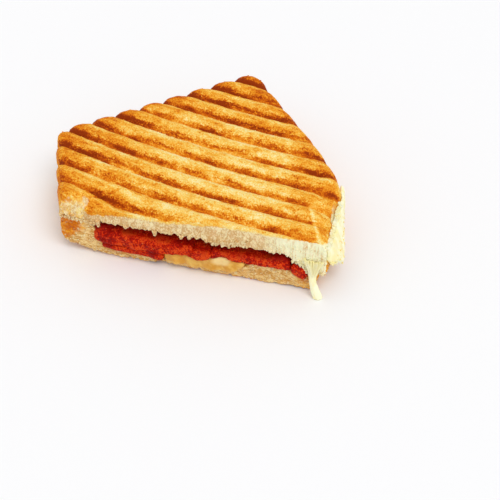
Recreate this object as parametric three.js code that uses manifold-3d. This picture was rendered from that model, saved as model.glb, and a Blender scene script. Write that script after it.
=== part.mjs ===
// One half of a toasted salami and cheese sandwich, cut across and lying flat.
// Millimetres, +Z up. The sizes below are in the cut's own frame: u runs along the cut
// to the right, v runs away from the cut, z is height above the surface it lies on.
import * as THREE from "three";
import Module from "manifold-3d";

const wasm = await Module();
wasm.setup();

const { lerp, smoothstep, clamp, seededRandom } = THREE.MathUtils;

// The middle of the half's footprint in u and v, which becomes the part's origin.
const FOOTPRINT_MIDDLE = [54.05, 50.06];

// Plan outlines of the two slices as they were before the cut, which lies near v = 0:
// corners as [u, v, length of the rounding each way].
const FRONT_REACH = -40;
const TOP_CORNERS = [
  [13.2, FRONT_REACH, 0],
  [-18.4, 44, 7],
  [60.4, 111.3, 9],
  [101.6, 63.4, 9],
  [119.8, 38, 12],
  [120, FRONT_REACH, 0],
];
const BOTTOM_CORNERS = [
  [13.1, FRONT_REACH, 0],
  [-18.6, 44.6, 7],
  [60, 111.8, 9],
  [101, 62.4, 9],
  [118, 37, 12],
  [112.6, FRONT_REACH, 0],
];

// Heights.
const CRUST_TOP = 30.4;
const TOP_UNDERSIDE = 20.4;
const SEAM_LEFT = 20;
const SEAM_BACK = 14.6;
const SEAM_RIGHT_FRONT = 8.6;
const SEAM_GAP = 0.8;
const SEAM_FALL = [-2, 44];
const MOUTH_OPENING = 1.7;
const MOUTH_GAP = 3.4;
const MOUTH_START = [13, 24];
const MOUTH_END = [94, 102];
const MOUTH_DEPTH = [2, 13];
const BREAD_UNDER_SALAMI = 4.6;
const BREAD_UNDER_CHEESE = 3;
const BREAD_RIGHT = 10.6;
// Stretches along u and v over which one height gives way to the next.
const RIGHT_END = [84, 106];
const RIGHT_END_DEPTH = [8, 32];
const CHEESE_BED_START = [42, 50];
const RIGHT_BED_START = [76, 88];
// How far inside the edge each slice's inner face leaves the seam and reaches the filling.
const TOP_RIM = [3.5, 19];
const BOTTOM_RIM_LEFT = [13, 18.5];
const BOTTOM_RIM_RIGHT = [5, 12];
const BOTTOM_RIM_CHANGE = [40, 90];

// The grill's ridges, pressed into both crusts.
const RIDGE_PITCH = 10.4;
const RIDGE_DEPTH = 2.8;
const BASE_RIDGE_DEPTH = 2.2;
const FIRST_GROOVE = -2;
const RIDGE_ANCHOR = 50;
const RIDGE_SLOPE = -0.2;
const RIDGE_CURVE = 0.00096;
const RIDGE_BULGE_LEFT = 1.3;
const RIDGE_BULGE_RIGHT = 0.3;
const RIDGE_BULGE_CHANGE = [30, 85];
const RIDGE_FADE_START = [58, 98];
const RIDGE_FADE = [1, 9];
const RIDGE_FADE_SHARE = 0.85;
const FIRST_RIDGE = -2;
const LAST_RIDGE = 11;
// One ridge from groove to groove: [share of the pitch, share of the depth below the crest].
const RIDGE_PROFILE = [
  [0, 1],
  [0.16, 0.42],
  [0.38, 0],
  [0.62, 0],
  [0.86, 0.36],
  [1, 1],
];

// The pressed front strip, the torn corner beside it and the lifted left end.
const STRIP_DEPTH = [-1, 15];
const STRIP_START = [8.5, 13];
const STRIP_END = [20, 56];
const STRIP_SAG = 4.4;
const CORNER_END = [8, 12];
const CORNER_RISE = 1.2;
const CORNER_TORN = 6;
const CORNER_TORN_DEPTH = [-3, 1.5];
const LEFT_CURL = 3.2;
const LEFT_CURL_END = [-6, 20];
const LEFT_CURL_DEPTH = [4, 34];

// The band of side crust at the right, which slopes down from a crease in the top face.
const CREASE_FRONT = 116;
const CREASE_LEAN = -0.42;
const BAND_SLOPE = 0.42;
const BAND_BACK = [22, 40];

// The cut.
const CUT_LINE = -2;
const CUT_ROUGHNESS = 0.6;
const BLOCK_MARGIN = 12;
const CRUMB_PITCH = 2.9;
const NOTCH_PLACE = [0.35, 0.65];
const CRUMB_DROOP = 1.5;
const CRUMB_DROOP_DEPTH = [1, 5];
const CRUMB_DROOP_RIM = [4, 12];
const CORNER_DROOP = 2.4;
const CORNER_DROOP_START = [100, 102.4];
const CORNER_DROOP_END = [104, 109];
const CRUMB_TOOTH = 1.8;
const CRUMB_TOOTH_DEPTH = 4;
const BASE_TOOTH = 1.5;
const BASE_TOOTH_DEPTH = 2.5;
// The stretch of the cut whose lower edges are ragged, in the top and the bottom slice.
const TOP_TEETH = [14, 109];
const BASE_TEETH = [16, 112];

// Rounding of the crust at its sides, and the places across a slice, in from its edge.
const SHOULDER_TOP = 5.5;
const SHOULDER_SIDE = 1.4;
const SHOULDER_BASE = 5;
const SHOULDER_SHARE = 0.48;
const BREAD_RIMS = [0, 0.9, 3, 7.5, 13];
const BREAD_INNER_PLACES = 6;

// How the rows of a slab are searched and laid out.
const WIDEST = [-30, 140];
const SCAN_STEPS = 60;
const SEARCH_STEPS = 26;
const NARROWEST_ROW = 0.2;
const NARROW_ROW_SHARE = 0.75;
const OUTLINE_ARC_STEPS = 5;

// Fillings: plan outlines as above, with a gap to what each lies against.
const FILLING_GAP = 0.5;
const TRIM_GAP = 0.4;
const SALAMI_THIN = 3.1;
const CHEESE_TOP = 9.4;
const CHEESE_LUMP = 2.4;
const CHEESE_LUMP_START = [65, 71];
const CHEESE_LUMP_END = [75, 82];
const CHEESE_LUMP_LEFT_OVER = 0.5;
const SALAMI_BED_CHANGE = [44, 51];
const RIGHT_SALAMI_BED_CHANGE = [82.5, 86];
const LOBE_PITCH = 9;
const LOBE_REACH = 12;
const FILLING_FRONT_STEPS = [0.15, 0.9, 2.4, 4.6, 8];
const FILLING_BACK_ROWS = 5;
const FILLING_RIMS = [0, 1, 3];
const FILLING_RIM_SHARE = 0.9;
const PULL_SIDES = 8;

const CRUST_COLOUR = "#e3a047";
const BASE_CRUST_COLOUR = "#dca050";
const SALAMI_COLOUR = "#b3220f";
const CHEESE_COLOUR = "#e2ab4c";
const PALE_CHEESE_COLOUR = "#f7efcb";

function material(colour, roughness) {
  return new THREE.MeshStandardMaterial({ color: colour, roughness, metalness: 0 });
}

// A closed plan curve through rounded corners, as a list of points.
function planOutline(corners) {
  const path = new THREE.Path();
  const count = corners.length;
  corners.forEach(([u, v, cutback], i) => {
    const corner = new THREE.Vector2(u, v);
    const before = new THREE.Vector2(...corners[(i + count - 1) % count]);
    const after = new THREE.Vector2(...corners[(i + 1) % count]);
    const start = before.sub(corner).setLength(cutback).add(corner);
    const end = after.sub(corner).setLength(cutback).add(corner);
    if (i === 0) path.moveTo(start.x, start.y);
    else path.lineTo(start.x, start.y);
    path.quadraticCurveTo(u, v, end.x, end.y);
  });
  path.closePath();
  return path.getPoints(OUTLINE_ARC_STEPS);
}

// Distance from a point to a closed outline, positive inside it.
function depthInside(outline, u, v) {
  let nearest = Infinity;
  let inside = false;
  for (let i = 0; i < outline.length; i += 1) {
    const a = outline[i];
    const b = outline[(i + 1) % outline.length];
    const du = b.x - a.x;
    const dv = b.y - a.y;
    const length = du * du + dv * dv;
    const along = length > 0 ? clamp(((u - a.x) * du + (v - a.y) * dv) / length, 0, 1) : 0;
    nearest = Math.min(nearest, Math.hypot(u - a.x - along * du, v - a.y - along * dv));
    if (a.y > v !== b.y > v && u < a.x + ((v - a.y) / dv) * du) inside = !inside;
  }
  return inside ? nearest : -nearest;
}

// How far the ridge lines bow from straight, as a function of u.
function ridgeBow(u) {
  const from = u - RIDGE_ANCHOR;
  return RIDGE_SLOPE * from + RIDGE_CURVE * from * from;
}

// How far below the crest the crust lies, from 0 on a crest to 1 in a groove.
function grooveShare(u, v) {
  const turns = (v - ridgeBow(u) - FIRST_GROOVE) / RIDGE_PITCH;
  const phase = turns - Math.floor(turns);
  for (let i = 1; i < RIDGE_PROFILE.length; i += 1) {
    const [start, startShare] = RIDGE_PROFILE[i - 1];
    const [end, endShare] = RIDGE_PROFILE[i];
    if (phase <= end) return lerp(startShare, endShare, (phase - start) / (end - start));
  }
  return 1;
}

// The crust's edge stands out at each crest and draws in at each groove.
function ridgedDepth(outline, u, v) {
  const bulge = lerp(RIDGE_BULGE_LEFT, RIDGE_BULGE_RIGHT, smoothstep(u, ...RIDGE_BULGE_CHANGE));
  return depthInside(outline, u, v) + bulge * (0.5 - grooveShare(u, v));
}

const topOutline = planOutline(TOP_CORNERS);
const bottomOutline = planOutline(BOTTOM_CORNERS);

// How near a place is to the right end of the cut, where the slices gape and droop.
function rightEnd(u, v) {
  return smoothstep(u, ...RIGHT_END) * (1 - smoothstep(v, ...RIGHT_END_DEPTH));
}

function seamHeight(u, v) {
  const left = lerp(SEAM_LEFT, SEAM_BACK, smoothstep(u, ...SEAM_FALL));
  return lerp(left, SEAM_RIGHT_FRONT, rightEnd(u, v));
}

function topCrest(u, v) {
  const atCut = 1 - smoothstep(v, ...STRIP_DEPTH);
  const strip = smoothstep(u, ...STRIP_START) * (1 - smoothstep(u, ...STRIP_END));
  const corner = 1 - smoothstep(u, ...CORNER_END);
  const torn = CORNER_TORN * corner * (1 - smoothstep(v, ...CORNER_TORN_DEPTH));
  return CRUST_TOP + atCut * (CORNER_RISE * corner - STRIP_SAG * strip) - torn - bandDrop(u, v);
}

function bandDrop(u, v) {
  const beyondCrease = Math.max(0, u - CREASE_FRONT - CREASE_LEAN * v);
  return BAND_SLOPE * beyondCrease * (1 - smoothstep(v, ...BAND_BACK));
}

// The right side's crust is smooth: the ridges fade out before they reach it.
function ridgeStrength(outline, u, v) {
  const fade = smoothstep(depthInside(outline, u, v), ...RIDGE_FADE);
  return lerp(1, fade, RIDGE_FADE_SHARE * smoothstep(u, ...RIDGE_FADE_START));
}

function topFace(u, v) {
  return topCrest(u, v) - RIDGE_DEPTH * grooveShare(u, v) * ridgeStrength(topOutline, u, v);
}

// The underside of the top slice: it closes down on the bottom slice at the sides,
// and its crumb hangs a little along the cut.
function topUnderside(u, v) {
  const depth = depthInside(topOutline, u, v);
  const closed = seamHeight(u, v) + SEAM_GAP / 2 + MOUTH_OPENING * rightEnd(u, v);
  const inner = lerp(closed, TOP_UNDERSIDE, smoothstep(depth, ...TOP_RIM));
  const atCut = 1 - smoothstep(v, ...CRUMB_DROOP_DEPTH);
  const evenly = CRUMB_DROOP * smoothstep(depth, ...CRUMB_DROOP_RIM);
  const beforeEnd = 1 - smoothstep(u, ...CORNER_DROOP_END);
  const atCorner = CORNER_DROOP * smoothstep(u, ...CORNER_DROOP_START) * beforeEnd;
  return inner - atCut * (evenly + atCorner);
}

function bottomInner(u) {
  const toCheese = smoothstep(u, ...CHEESE_BED_START);
  const underCheese = lerp(BREAD_UNDER_SALAMI, BREAD_UNDER_CHEESE, toCheese);
  return lerp(underCheese, BREAD_RIGHT, smoothstep(u, ...RIGHT_BED_START));
}

function bottomFace(u, v) {
  const depth = depthInside(bottomOutline, u, v);
  const closed = seamHeight(u, v) - SEAM_GAP / 2 - MOUTH_OPENING * rightEnd(u, v);
  const towardsRight = smoothstep(u, ...BOTTOM_RIM_CHANGE);
  const start = lerp(BOTTOM_RIM_LEFT[0], BOTTOM_RIM_RIGHT[0], towardsRight);
  const end = lerp(BOTTOM_RIM_LEFT[1], BOTTOM_RIM_RIGHT[1], towardsRight);
  return lerp(closed, bottomInner(u), smoothstep(depth, start, end));
}

function bottomUnderside(u, v) {
  const atLeft = 1 - smoothstep(u, ...LEFT_CURL_END);
  const curl = LEFT_CURL * atLeft * (1 - smoothstep(v, ...LEFT_CURL_DEPTH));
  const groove = grooveShare(u, v) * ridgeStrength(bottomOutline, u, v);
  return curl + BASE_RIDGE_DEPTH * groove;
}

// Height lost to a rounded rim of the given radius at a depth inside the edge.
function rimDrop(depth, radius) {
  const run = 1 - clamp(depth / radius, 0, 1);
  return radius * (1 - Math.sqrt(1 - run * run));
}

// Where a row's curve reaches a given depth inside an edge, going out from its middle.
function reach(depthAt, vAt, middle, far, depth) {
  let near = middle;
  let out = far;
  for (let step = 0; step < SEARCH_STEPS; step += 1) {
    const u = (near + out) / 2;
    if (depthAt(u, vAt(u)) > depth) near = u;
    else out = u;
  }
  return near;
}

// The places along one row: close together at the rims, evenly spread between them.
function rowPlaces(depthAt, vAt, span, rims, innerCount) {
  let middle = span[0];
  for (let i = 0; i <= SCAN_STEPS; i += 1) {
    const u = lerp(span[0], span[1], i / SCAN_STEPS);
    if (depthAt(u, vAt(u)) > depthAt(middle, vAt(middle))) middle = u;
  }
  const deepest = depthAt(middle, vAt(middle));
  if (deepest < NARROWEST_ROW) return null;
  const scale = Math.min(1, (NARROW_ROW_SHARE * deepest) / rims[rims.length - 1]);
  const left = rims.map((rim) => reach(depthAt, vAt, middle, span[0], rim * scale));
  const right = rims.map((rim) => reach(depthAt, vAt, middle, span[1], rim * scale)).reverse();
  const inner = [];
  for (let i = 1; i <= innerCount; i += 1) {
    inner.push(lerp(left[left.length - 1], right[0], i / (innerCount + 1)));
  }
  return [...left, ...inner, ...right];
}

// A closed slab made of loops laid along rows. Each loop runs over the upper face and
// back along the lower one, and the two end loops are closed across.
function slab({ rows, vOnRow, depthAt, span, rims, innerCount, upper, lower }) {
  const loops = [];
  rows.forEach((row) => {
    const vAt = (u) => vOnRow(u, row);
    const places = rowPlaces(depthAt, vAt, span, rims, innerCount);
    if (places === null) return;
    const over = places.map((u) => [u, vAt(u), upper(u, vAt(u))]);
    const under = places.map((u) => [u, vAt(u), lower(u, vAt(u))]).reverse();
    loops.push([...over, ...under]);
  });
  const size = loops[0].length;
  const half = size / 2;
  const index = [];
  for (let k = 0; k + 1 < loops.length; k += 1) {
    for (let i = 0; i < size; i += 1) {
      const next = (i + 1) % size;
      const a = k * size + i;
      const b = k * size + next;
      const c = (k + 1) * size + next;
      const d = (k + 1) * size + i;
      index.push(a, b, c, a, c, d);
    }
  }
  const last = (loops.length - 1) * size;
  for (let i = 0; i + 1 < half; i += 1) {
    const below = size - 1 - i;
    index.push(i, below, i + 1, i + 1, below, below - 1);
    index.push(last + i, last + i + 1, last + below, last + i + 1, last + below - 1, last + below);
  }
  return solidFrom(loops.flat(2), index);
}

function solidFrom(positions, index) {
  const mesh = new wasm.Mesh({
    numProp: 3,
    vertProperties: new Float32Array(positions),
    triVerts: new Uint32Array(index),
  });
  mesh.merge();
  return new wasm.Manifold(mesh);
}

// An extruded three.js shape as a solid, with its shared corners merged.
function solidFromShape(shape, depth, place) {
  const geometry = new THREE.ExtrudeGeometry(shape, { depth, bevelEnabled: false });
  geometry.applyMatrix4(place);
  const position = geometry.getAttribute("position");
  const positions = Array.from(position.array);
  return solidFrom(positions, positions.filter((_, i) => i % 3 === 0).map((_, i) => i));
}

function meshOf(name, solid, meshMaterial) {
  const { numProp, vertProperties, triVerts } = solid.getMesh();
  const count = vertProperties.length / numProp;
  const positions = new Float32Array(count * 3);
  for (let i = 0; i < count; i += 1) {
    positions.set(vertProperties.subarray(i * numProp, i * numProp + 3), i * 3);
  }
  const geometry = new THREE.BufferGeometry();
  geometry.setAttribute("position", new THREE.BufferAttribute(positions, 3));
  geometry.setIndex(Array.from(triVerts));
  geometry.computeVertexNormals();
  const mesh = new THREE.Mesh(geometry, meshMaterial);
  mesh.name = name;
  return mesh;
}

// A ragged line from one u to another, as points [u, height], by a seeded draw.
function raggedLine(from, to, pitch, heightAt, roughness) {
  const line = [];
  for (let u = from; u < to; u += pitch) {
    line.push([u, heightAt(u) + roughness * seededRandom()]);
    line.push([u + pitch * lerp(...NOTCH_PLACE, seededRandom()), heightAt(u)]);
  }
  return line;
}

// The block in front of the cut, with a slightly uneven back face.
function cutBlock(seed) {
  seededRandom(seed);
  const [left, right] = WIDEST;
  const shape = new THREE.Shape();
  shape.moveTo(left, FRONT_REACH);
  shape.lineTo(right, FRONT_REACH);
  const line = raggedLine(left, right, 2 * CRUMB_PITCH, () => CUT_LINE, CUT_ROUGHNESS);
  line.reverse().forEach(([u, v]) => shape.lineTo(u, v));
  const place = new THREE.Matrix4().makeTranslation(0, 0, -BLOCK_MARGIN);
  return solidFromShape(shape, CRUST_TOP + 2 * BLOCK_MARGIN, place);
}

// A comb that notches the lower edge of a slice along the cut.
function toothComb({ seed, teeth, heightAt, tooth, depth }) {
  seededRandom(seed);
  const [from, to] = teeth;
  const shape = new THREE.Shape();
  shape.moveTo(from, -BLOCK_MARGIN);
  shape.lineTo(to, -BLOCK_MARGIN);
  const line = raggedLine(from, to, CRUMB_PITCH, heightAt, tooth);
  line.reverse().forEach(([u, z]) => shape.lineTo(u, z));
  const turn = new THREE.Matrix4().makeRotationX(Math.PI / 2);
  turn.setPosition(0, depth, 0);
  return solidFromShape(shape, depth + BLOCK_MARGIN, turn);
}

function ridgeRows() {
  const rows = [];
  for (let ridge = FIRST_RIDGE; ridge <= LAST_RIDGE; ridge += 1) {
    RIDGE_PROFILE.slice(0, -1).forEach(([phase]) => {
      rows.push(FIRST_GROOVE + (ridge + phase) * RIDGE_PITCH);
    });
  }
  return rows;
}

function breadSlice(outline, upper, lower, upperRim, lowerRim) {
  const depthAt = (u, v) => ridgedDepth(outline, u, v);
  const rim = (u, v, radius) => {
    const room = SHOULDER_SHARE * (upper(u, v) - lower(u, v));
    return rimDrop(depthAt(u, v), Math.min(radius, room));
  };
  return slab({
    rows: ridgeRows(),
    vOnRow: (u, row) => row + ridgeBow(u),
    depthAt,
    span: WIDEST,
    rims: BREAD_RIMS,
    innerCount: BREAD_INNER_PLACES,
    upper: (u, v) => upper(u, v) - rim(u, v, upperRim),
    lower: (u, v) => lower(u, v) + rim(u, v, lowerRim),
  });
}

function topSliceSolid() {
  const slice = breadSlice(topOutline, topFace, topUnderside, SHOULDER_TOP, SHOULDER_SIDE);
  const comb = toothComb({
    seed: 7,
    teeth: TOP_TEETH,
    heightAt: (u) => topUnderside(u, 0),
    tooth: CRUMB_TOOTH,
    depth: CRUMB_TOOTH_DEPTH,
  });
  return slice.subtract(cutBlock(3)).subtract(comb);
}

function bottomSliceSolid() {
  const slice = breadSlice(
    bottomOutline, bottomFace, bottomUnderside, SHOULDER_SIDE, SHOULDER_BASE);
  const comb = toothComb({
    seed: 11,
    teeth: BASE_TEETH,
    heightAt: () => 0,
    tooth: BASE_TOOTH,
    depth: BASE_TOOTH_DEPTH,
  });
  return slice.subtract(cutBlock(5)).subtract(comb);
}

const topSolid = topSliceSolid();
const bottomSolid = bottomSliceSolid();

function breadMeshes() {
  return [
    meshOf("top_slice", topSolid, material(CRUST_COLOUR, 0.75)),
    meshOf("bottom_slice", bottomSolid, material(BASE_CRUST_COLOUR, 0.8)),
  ];
}

// A filling trimmed where it would touch the bread or what it lies on, with any loose
// scrap left out.
function trimmed(solid, lyingOn) {
  const under = [bottomSolid, ...lyingOn];
  const clearOfTop = solid.subtract(topSolid.translate([0, 0, -TRIM_GAP]));
  const clear = under.reduce(
    (rest, piece) => rest.subtract(piece.translate([0, 0, TRIM_GAP])), clearOfTop);
  return largestBody(clear);
}

function largestBody(solid) {
  return solid.decompose().reduce((a, b) => (a.volume() > b.volume() ? a : b));
}

// A filling that runs through the food: a slab between two heights with a rounded rim
// and a lobed front edge, finer near the cut.
function filling({ corners, upper, lower, upperRim, lowerRim, lobe, innerCount }) {
  const outline = planOutline(corners);
  const us = outline.map((point) => point.x);
  const vs = outline.map((point) => point.y);
  const front = Math.min(...vs);
  const back = Math.max(...vs);
  const lobes = (u, v) => {
    const fade = 1 - smoothstep(v, front, front + LOBE_REACH);
    return fade * lobe * Math.sin((2 * Math.PI * u) / LOBE_PITCH);
  };
  const depthAt = (u, v) => depthInside(outline, u, v - lobes(u, v));
  const rows = FILLING_FRONT_STEPS.map((step) => front + step);
  const evenFrom = rows[rows.length - 1];
  for (let i = 1; i <= FILLING_BACK_ROWS; i += 1) {
    rows.push(lerp(evenFrom, back - NARROWEST_ROW, i / FILLING_BACK_ROWS));
  }
  const rimShare = (u, v) => {
    const thickness = Math.max(upper(u, v) - lower(u, v), 0);
    return Math.min(1, (FILLING_RIM_SHARE * thickness) / (upperRim + lowerRim));
  };
  return slab({
    rows,
    vOnRow: (u, row) => row + lobes(u, row),
    depthAt,
    span: [Math.min(...us), Math.max(...us)],
    rims: FILLING_RIMS,
    innerCount,
    upper: (u, v) => upper(u, v) - rimDrop(depthAt(u, v), upperRim * rimShare(u, v)),
    lower: (u, v) => lower(u, v) + rimDrop(depthAt(u, v), lowerRim * rimShare(u, v)),
  });
}

function underTop(u, v) {
  return topUnderside(u, v) - FILLING_GAP;
}

// Along the cut the salami lies lower than the crumb, which leaves a dark gap over it,
// except at its two ends.
function salamiTop(u, v) {
  const open = smoothstep(u, ...MOUTH_START) * (1 - smoothstep(u, ...MOUTH_END));
  return underTop(u, v) - MOUTH_GAP * open * (1 - smoothstep(v, ...MOUTH_DEPTH));
}

// Just over the bottom slice: over its rim as well, or over its level middle alone.
function overBottom(u, v) {
  return bottomFace(u, v) + FILLING_GAP;
}

function overMiddle(u) {
  return bottomInner(u) + FILLING_GAP;
}

function cheeseTop(u) {
  const sinking = 1 - (1 - CHEESE_LUMP_LEFT_OVER) * smoothstep(u, ...CHEESE_LUMP_END);
  return CHEESE_TOP + CHEESE_LUMP * smoothstep(u, ...CHEESE_LUMP_START) * sinking;
}

// What the upper salami lies on: the thin slice at the left, then the cheese.
function salamiBed(u) {
  const onSlice = overMiddle(u) + SALAMI_THIN + FILLING_GAP;
  const onCheese = cheeseTop(u) + FILLING_GAP;
  return lerp(onSlice, onCheese, smoothstep(u, ...SALAMI_BED_CHANGE));
}

const cheeseSolid = trimmed(filling({
  corners: [[47, -3.9, 1], [47, 64, 4], [58, 72, 4], [68, 69, 4], [82, 54, 6], [83.5, -4, 3]],
  upper: cheeseTop,
  lower: overMiddle,
  upperRim: 2.4,
  lowerRim: 2,
  lobe: 0.6,
  innerCount: 7,
}), []);

const thinSalamiSolid = trimmed(filling({
  corners: [[17.6, -3.6, 2], [19, 44, 6], [43.8, 66, 4], [46.4, -4.7, 1]],
  upper: (u) => overMiddle(u) + SALAMI_THIN,
  lower: overMiddle,
  upperRim: 0.9,
  lowerRim: 1.2,
  lobe: 0.5,
  innerCount: 5,
}), []);

const tongueSolid = trimmed(filling({
  corners: [[59.6, -6.4, 3], [59.6, 77, 3], [68.4, 71, 3], [69, -6.2, 3]],
  upper: salamiTop,
  lower: (u) => cheeseTop(u) + FILLING_GAP,
  upperRim: 4,
  lowerRim: 3,
  lobe: 0,
  innerCount: 3,
}), [cheeseSolid]);

// The salami to the left and right of the tongue passes close behind its rounded sides.
function upperSalami(name, sizes) {
  const whole = trimmed(filling(sizes), [cheeseSolid, thinSalamiSolid]);
  const besideLeft = whole.subtract(tongueSolid.translate([-TRIM_GAP, 0, 0]));
  const beside = besideLeft.subtract(tongueSolid.translate([TRIM_GAP, 0, 0]));
  return meshOf(name, largestBody(beside), material(SALAMI_COLOUR, 0.4));
}

function rightSalamiBed(u, v) {
  const onCheese = cheeseTop(u) + FILLING_GAP;
  return lerp(onCheese, overBottom(u, v), smoothstep(u, ...RIGHT_SALAMI_BED_CHANGE));
}

function fillingMeshes() {
  return [
    meshOf("cheese_layer", cheeseSolid, material(CHEESE_COLOUR, 0.35)),
    meshOf("salami_under", thinSalamiSolid, material(SALAMI_COLOUR, 0.4)),
    meshOf("salami_tongue", tongueSolid, material(SALAMI_COLOUR, 0.4)),
    upperSalami("salami_folded", {
      corners: [
        [12.6, -1.4, 0.4],
        [14, 44, 6],
        [61.6, 76, 3],
        [61.8, -5, 2],
        [19.6, -4.7, 2.4],
      ],
      upper: salamiTop,
      lower: salamiBed,
      upperRim: 4.6,
      lowerRim: 1.6,
      lobe: 0.7,
      innerCount: 9,
    }),
    upperSalami("salami_right", {
      corners: [[66.8, -4.4, 1], [66.8, 69, 3], [90, 45, 4], [103, 26, 6], [104.2, -3.8, 1]],
      upper: salamiTop,
      lower: rightSalamiBed,
      upperRim: 4,
      lowerRim: 1.6,
      lobe: 0.6,
      innerCount: 7,
    }),
    upperSalami("salami_tip", {
      corners: [[104.8, -4.2, 0.6], [105, 15, 3], [110, 13, 3], [111.4, -3.2, 1.4]],
      upper: underTop,
      lower: overBottom,
      upperRim: 1.8,
      lowerRim: 1.4,
      lobe: 0,
      innerCount: 1,
    }),
  ];
}

// A pulled sheet of melted cheese: flat oval sections between an inner and an outer edge.
function pulledCheese(stations) {
  const positions = [];
  const index = [];
  stations.forEach(({ inner, outer, facing, thickness }) => {
    const middle = new THREE.Vector3(...inner).lerp(new THREE.Vector3(...outer), 0.5);
    const across = new THREE.Vector3(...outer).sub(middle);
    const through = new THREE.Vector3(...facing).setLength(thickness / 2);
    for (let i = 0; i < PULL_SIDES; i += 1) {
      const turn = (2 * Math.PI * i) / PULL_SIDES;
      const point = middle.clone();
      point.addScaledVector(across, Math.cos(turn));
      point.addScaledVector(through, Math.sin(turn));
      positions.push(...point.toArray());
    }
  });
  for (let k = 0; k + 1 < stations.length; k += 1) {
    for (let i = 0; i < PULL_SIDES; i += 1) {
      const next = (i + 1) % PULL_SIDES;
      const a = k * PULL_SIDES + i;
      const b = k * PULL_SIDES + next;
      index.push(a, b, b + PULL_SIDES, a, b + PULL_SIDES, a + PULL_SIDES);
    }
  }
  const last = (stations.length - 1) * PULL_SIDES;
  for (let i = 1; i + 1 < PULL_SIDES; i += 1) {
    index.push(0, i + 1, i, last, last + i, last + i + 1);
  }
  return solidFrom(positions, index);
}

// The string that hangs from the open corner and spreads where it lands.
function cheeseDrip() {
  const facing = [0, -1, 0];
  const string = [
    { left: 111.2, right: 117.4, v: -2.8, z: 16.4, thickness: 0.6 },
    { left: 111.8, right: 116.9, v: -3.1, z: 13.6, thickness: 1.1 },
    { left: 112.5, right: 116, v: -3.7, z: 10.8, thickness: 1.8 },
    { left: 113, right: 116.2, v: -4.3, z: 8, thickness: 2 },
    { left: 113.8, right: 117.7, v: -5, z: 4.6, thickness: 2.2 },
    { left: 114.6, right: 119.1, v: -5.6, z: 2, thickness: 2.4 },
    { left: 115.2, right: 119.6, v: -5.9, z: 0.35, thickness: 3 },
  ];
  const solid = pulledCheese(string.map(({ left, right, v, z, thickness }) => (
    { inner: [left, v, z], outer: [right, v, z], facing, thickness })));
  return meshOf("cheese_drip", solid, material(PALE_CHEESE_COLOUR, 0.3));
}

// The sheet that was squeezed out on the right side and hangs off the crust.
function cheeseSide() {
  const facing = [1, 0.2, 0.3];
  const sheet = [
    { inner: [117.2, 42.6, 24], outer: [118.6, 43, 21.6], thickness: 0.9 },
    { inner: [118.9, 34, 24.6], outer: [120.2, 34.8, 18.4], thickness: 1.4 },
    { inner: [119.5, 25, 24.8], outer: [121.6, 26.2, 15.4], thickness: 1.8 },
    { inner: [119.8, 16, 24.4], outer: [124, 17.4, 12], thickness: 2 },
    { inner: [119.8, 8, 23.4], outer: [125.6, 8.5, 9.8], thickness: 2.2 },
    { inner: [119.6, 3, 24.6], outer: [123.4, 3.4, 15.2], thickness: 3 },
    { inner: [119.2, -1, 25.8], outer: [121.4, -1.2, 18.4], thickness: 2.4 },
  ];
  const whole = pulledCheese(sheet.map((station) => ({ ...station, facing })));
  const clearOfTop = whole.subtract(topSolid.translate([TRIM_GAP, 0, 0]));
  const solid = largestBody(clearOfTop.subtract(bottomSolid.translate([TRIM_GAP, 0, 0])));
  return meshOf("cheese_side", solid, material(PALE_CHEESE_COLOUR, 0.3));
}

const toastie = new THREE.Group();
toastie.position.set(-FOOTPRINT_MIDDLE[0], -FOOTPRINT_MIDDLE[1], 0);
toastie.add(...breadMeshes(), ...fillingMeshes(), cheeseDrip(), cheeseSide());

export default toastie;
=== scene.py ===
"""Dresses one half of a grilled salami and cheese toastie over its solids.

Sizes are in millimetres in the cut's own frame: u runs along the cut to the right,
v runs away from the cut and z is height. Meshes are in metres in the part's frame.
"""
import logging
import math
from collections.abc import Sequence
from dataclasses import dataclass, field
from enum import Enum
from functools import reduce

import bmesh
import bpy
import numpy as np
from mathutils import Matrix, Vector


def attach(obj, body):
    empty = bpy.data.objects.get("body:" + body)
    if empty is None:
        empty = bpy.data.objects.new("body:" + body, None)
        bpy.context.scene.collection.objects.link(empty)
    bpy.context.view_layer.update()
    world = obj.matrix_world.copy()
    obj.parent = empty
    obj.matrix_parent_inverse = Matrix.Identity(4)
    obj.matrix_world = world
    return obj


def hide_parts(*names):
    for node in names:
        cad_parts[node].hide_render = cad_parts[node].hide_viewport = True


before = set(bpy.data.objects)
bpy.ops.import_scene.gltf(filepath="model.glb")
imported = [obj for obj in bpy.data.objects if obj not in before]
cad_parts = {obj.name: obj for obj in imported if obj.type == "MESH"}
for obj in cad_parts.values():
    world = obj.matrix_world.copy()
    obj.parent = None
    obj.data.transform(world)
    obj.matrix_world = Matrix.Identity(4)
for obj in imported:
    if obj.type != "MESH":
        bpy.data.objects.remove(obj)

Socket = bpy.types.NodeSocket
Colour = tuple[float, float, float]
Array = np.ndarray
Feed = Socket | float | Sequence[float]

log = logging.getLogger("toastie")
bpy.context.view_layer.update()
MM = 0.001
TINY = 1e-9
MERGE_DISTANCE = 1e-6
SQUARE_CM_PER_M = 1e4
FOOTPRINT_MIDDLE = (54.05, 50.06)


def smoothstep(value: Array | float, low: float, high: float) -> Array | float:
    """Rises smoothly from 0 at low to 1 at high.

    Args:
        value: Where on the way from low to high.
        low: Where the rise starts.
        high: Where the rise ends.

    Returns:
        The share risen, from 0 to 1.
    """
    share = np.clip((value - low) / (high - low), 0.0, 1.0)
    return share * share * (3.0 - 2.0 * share)


def lerp(start: Array | float, end: Array | float, share: Array | float) -> Array | float:
    """Goes from start to end by a share."""
    return start + (end - start) * share


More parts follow.
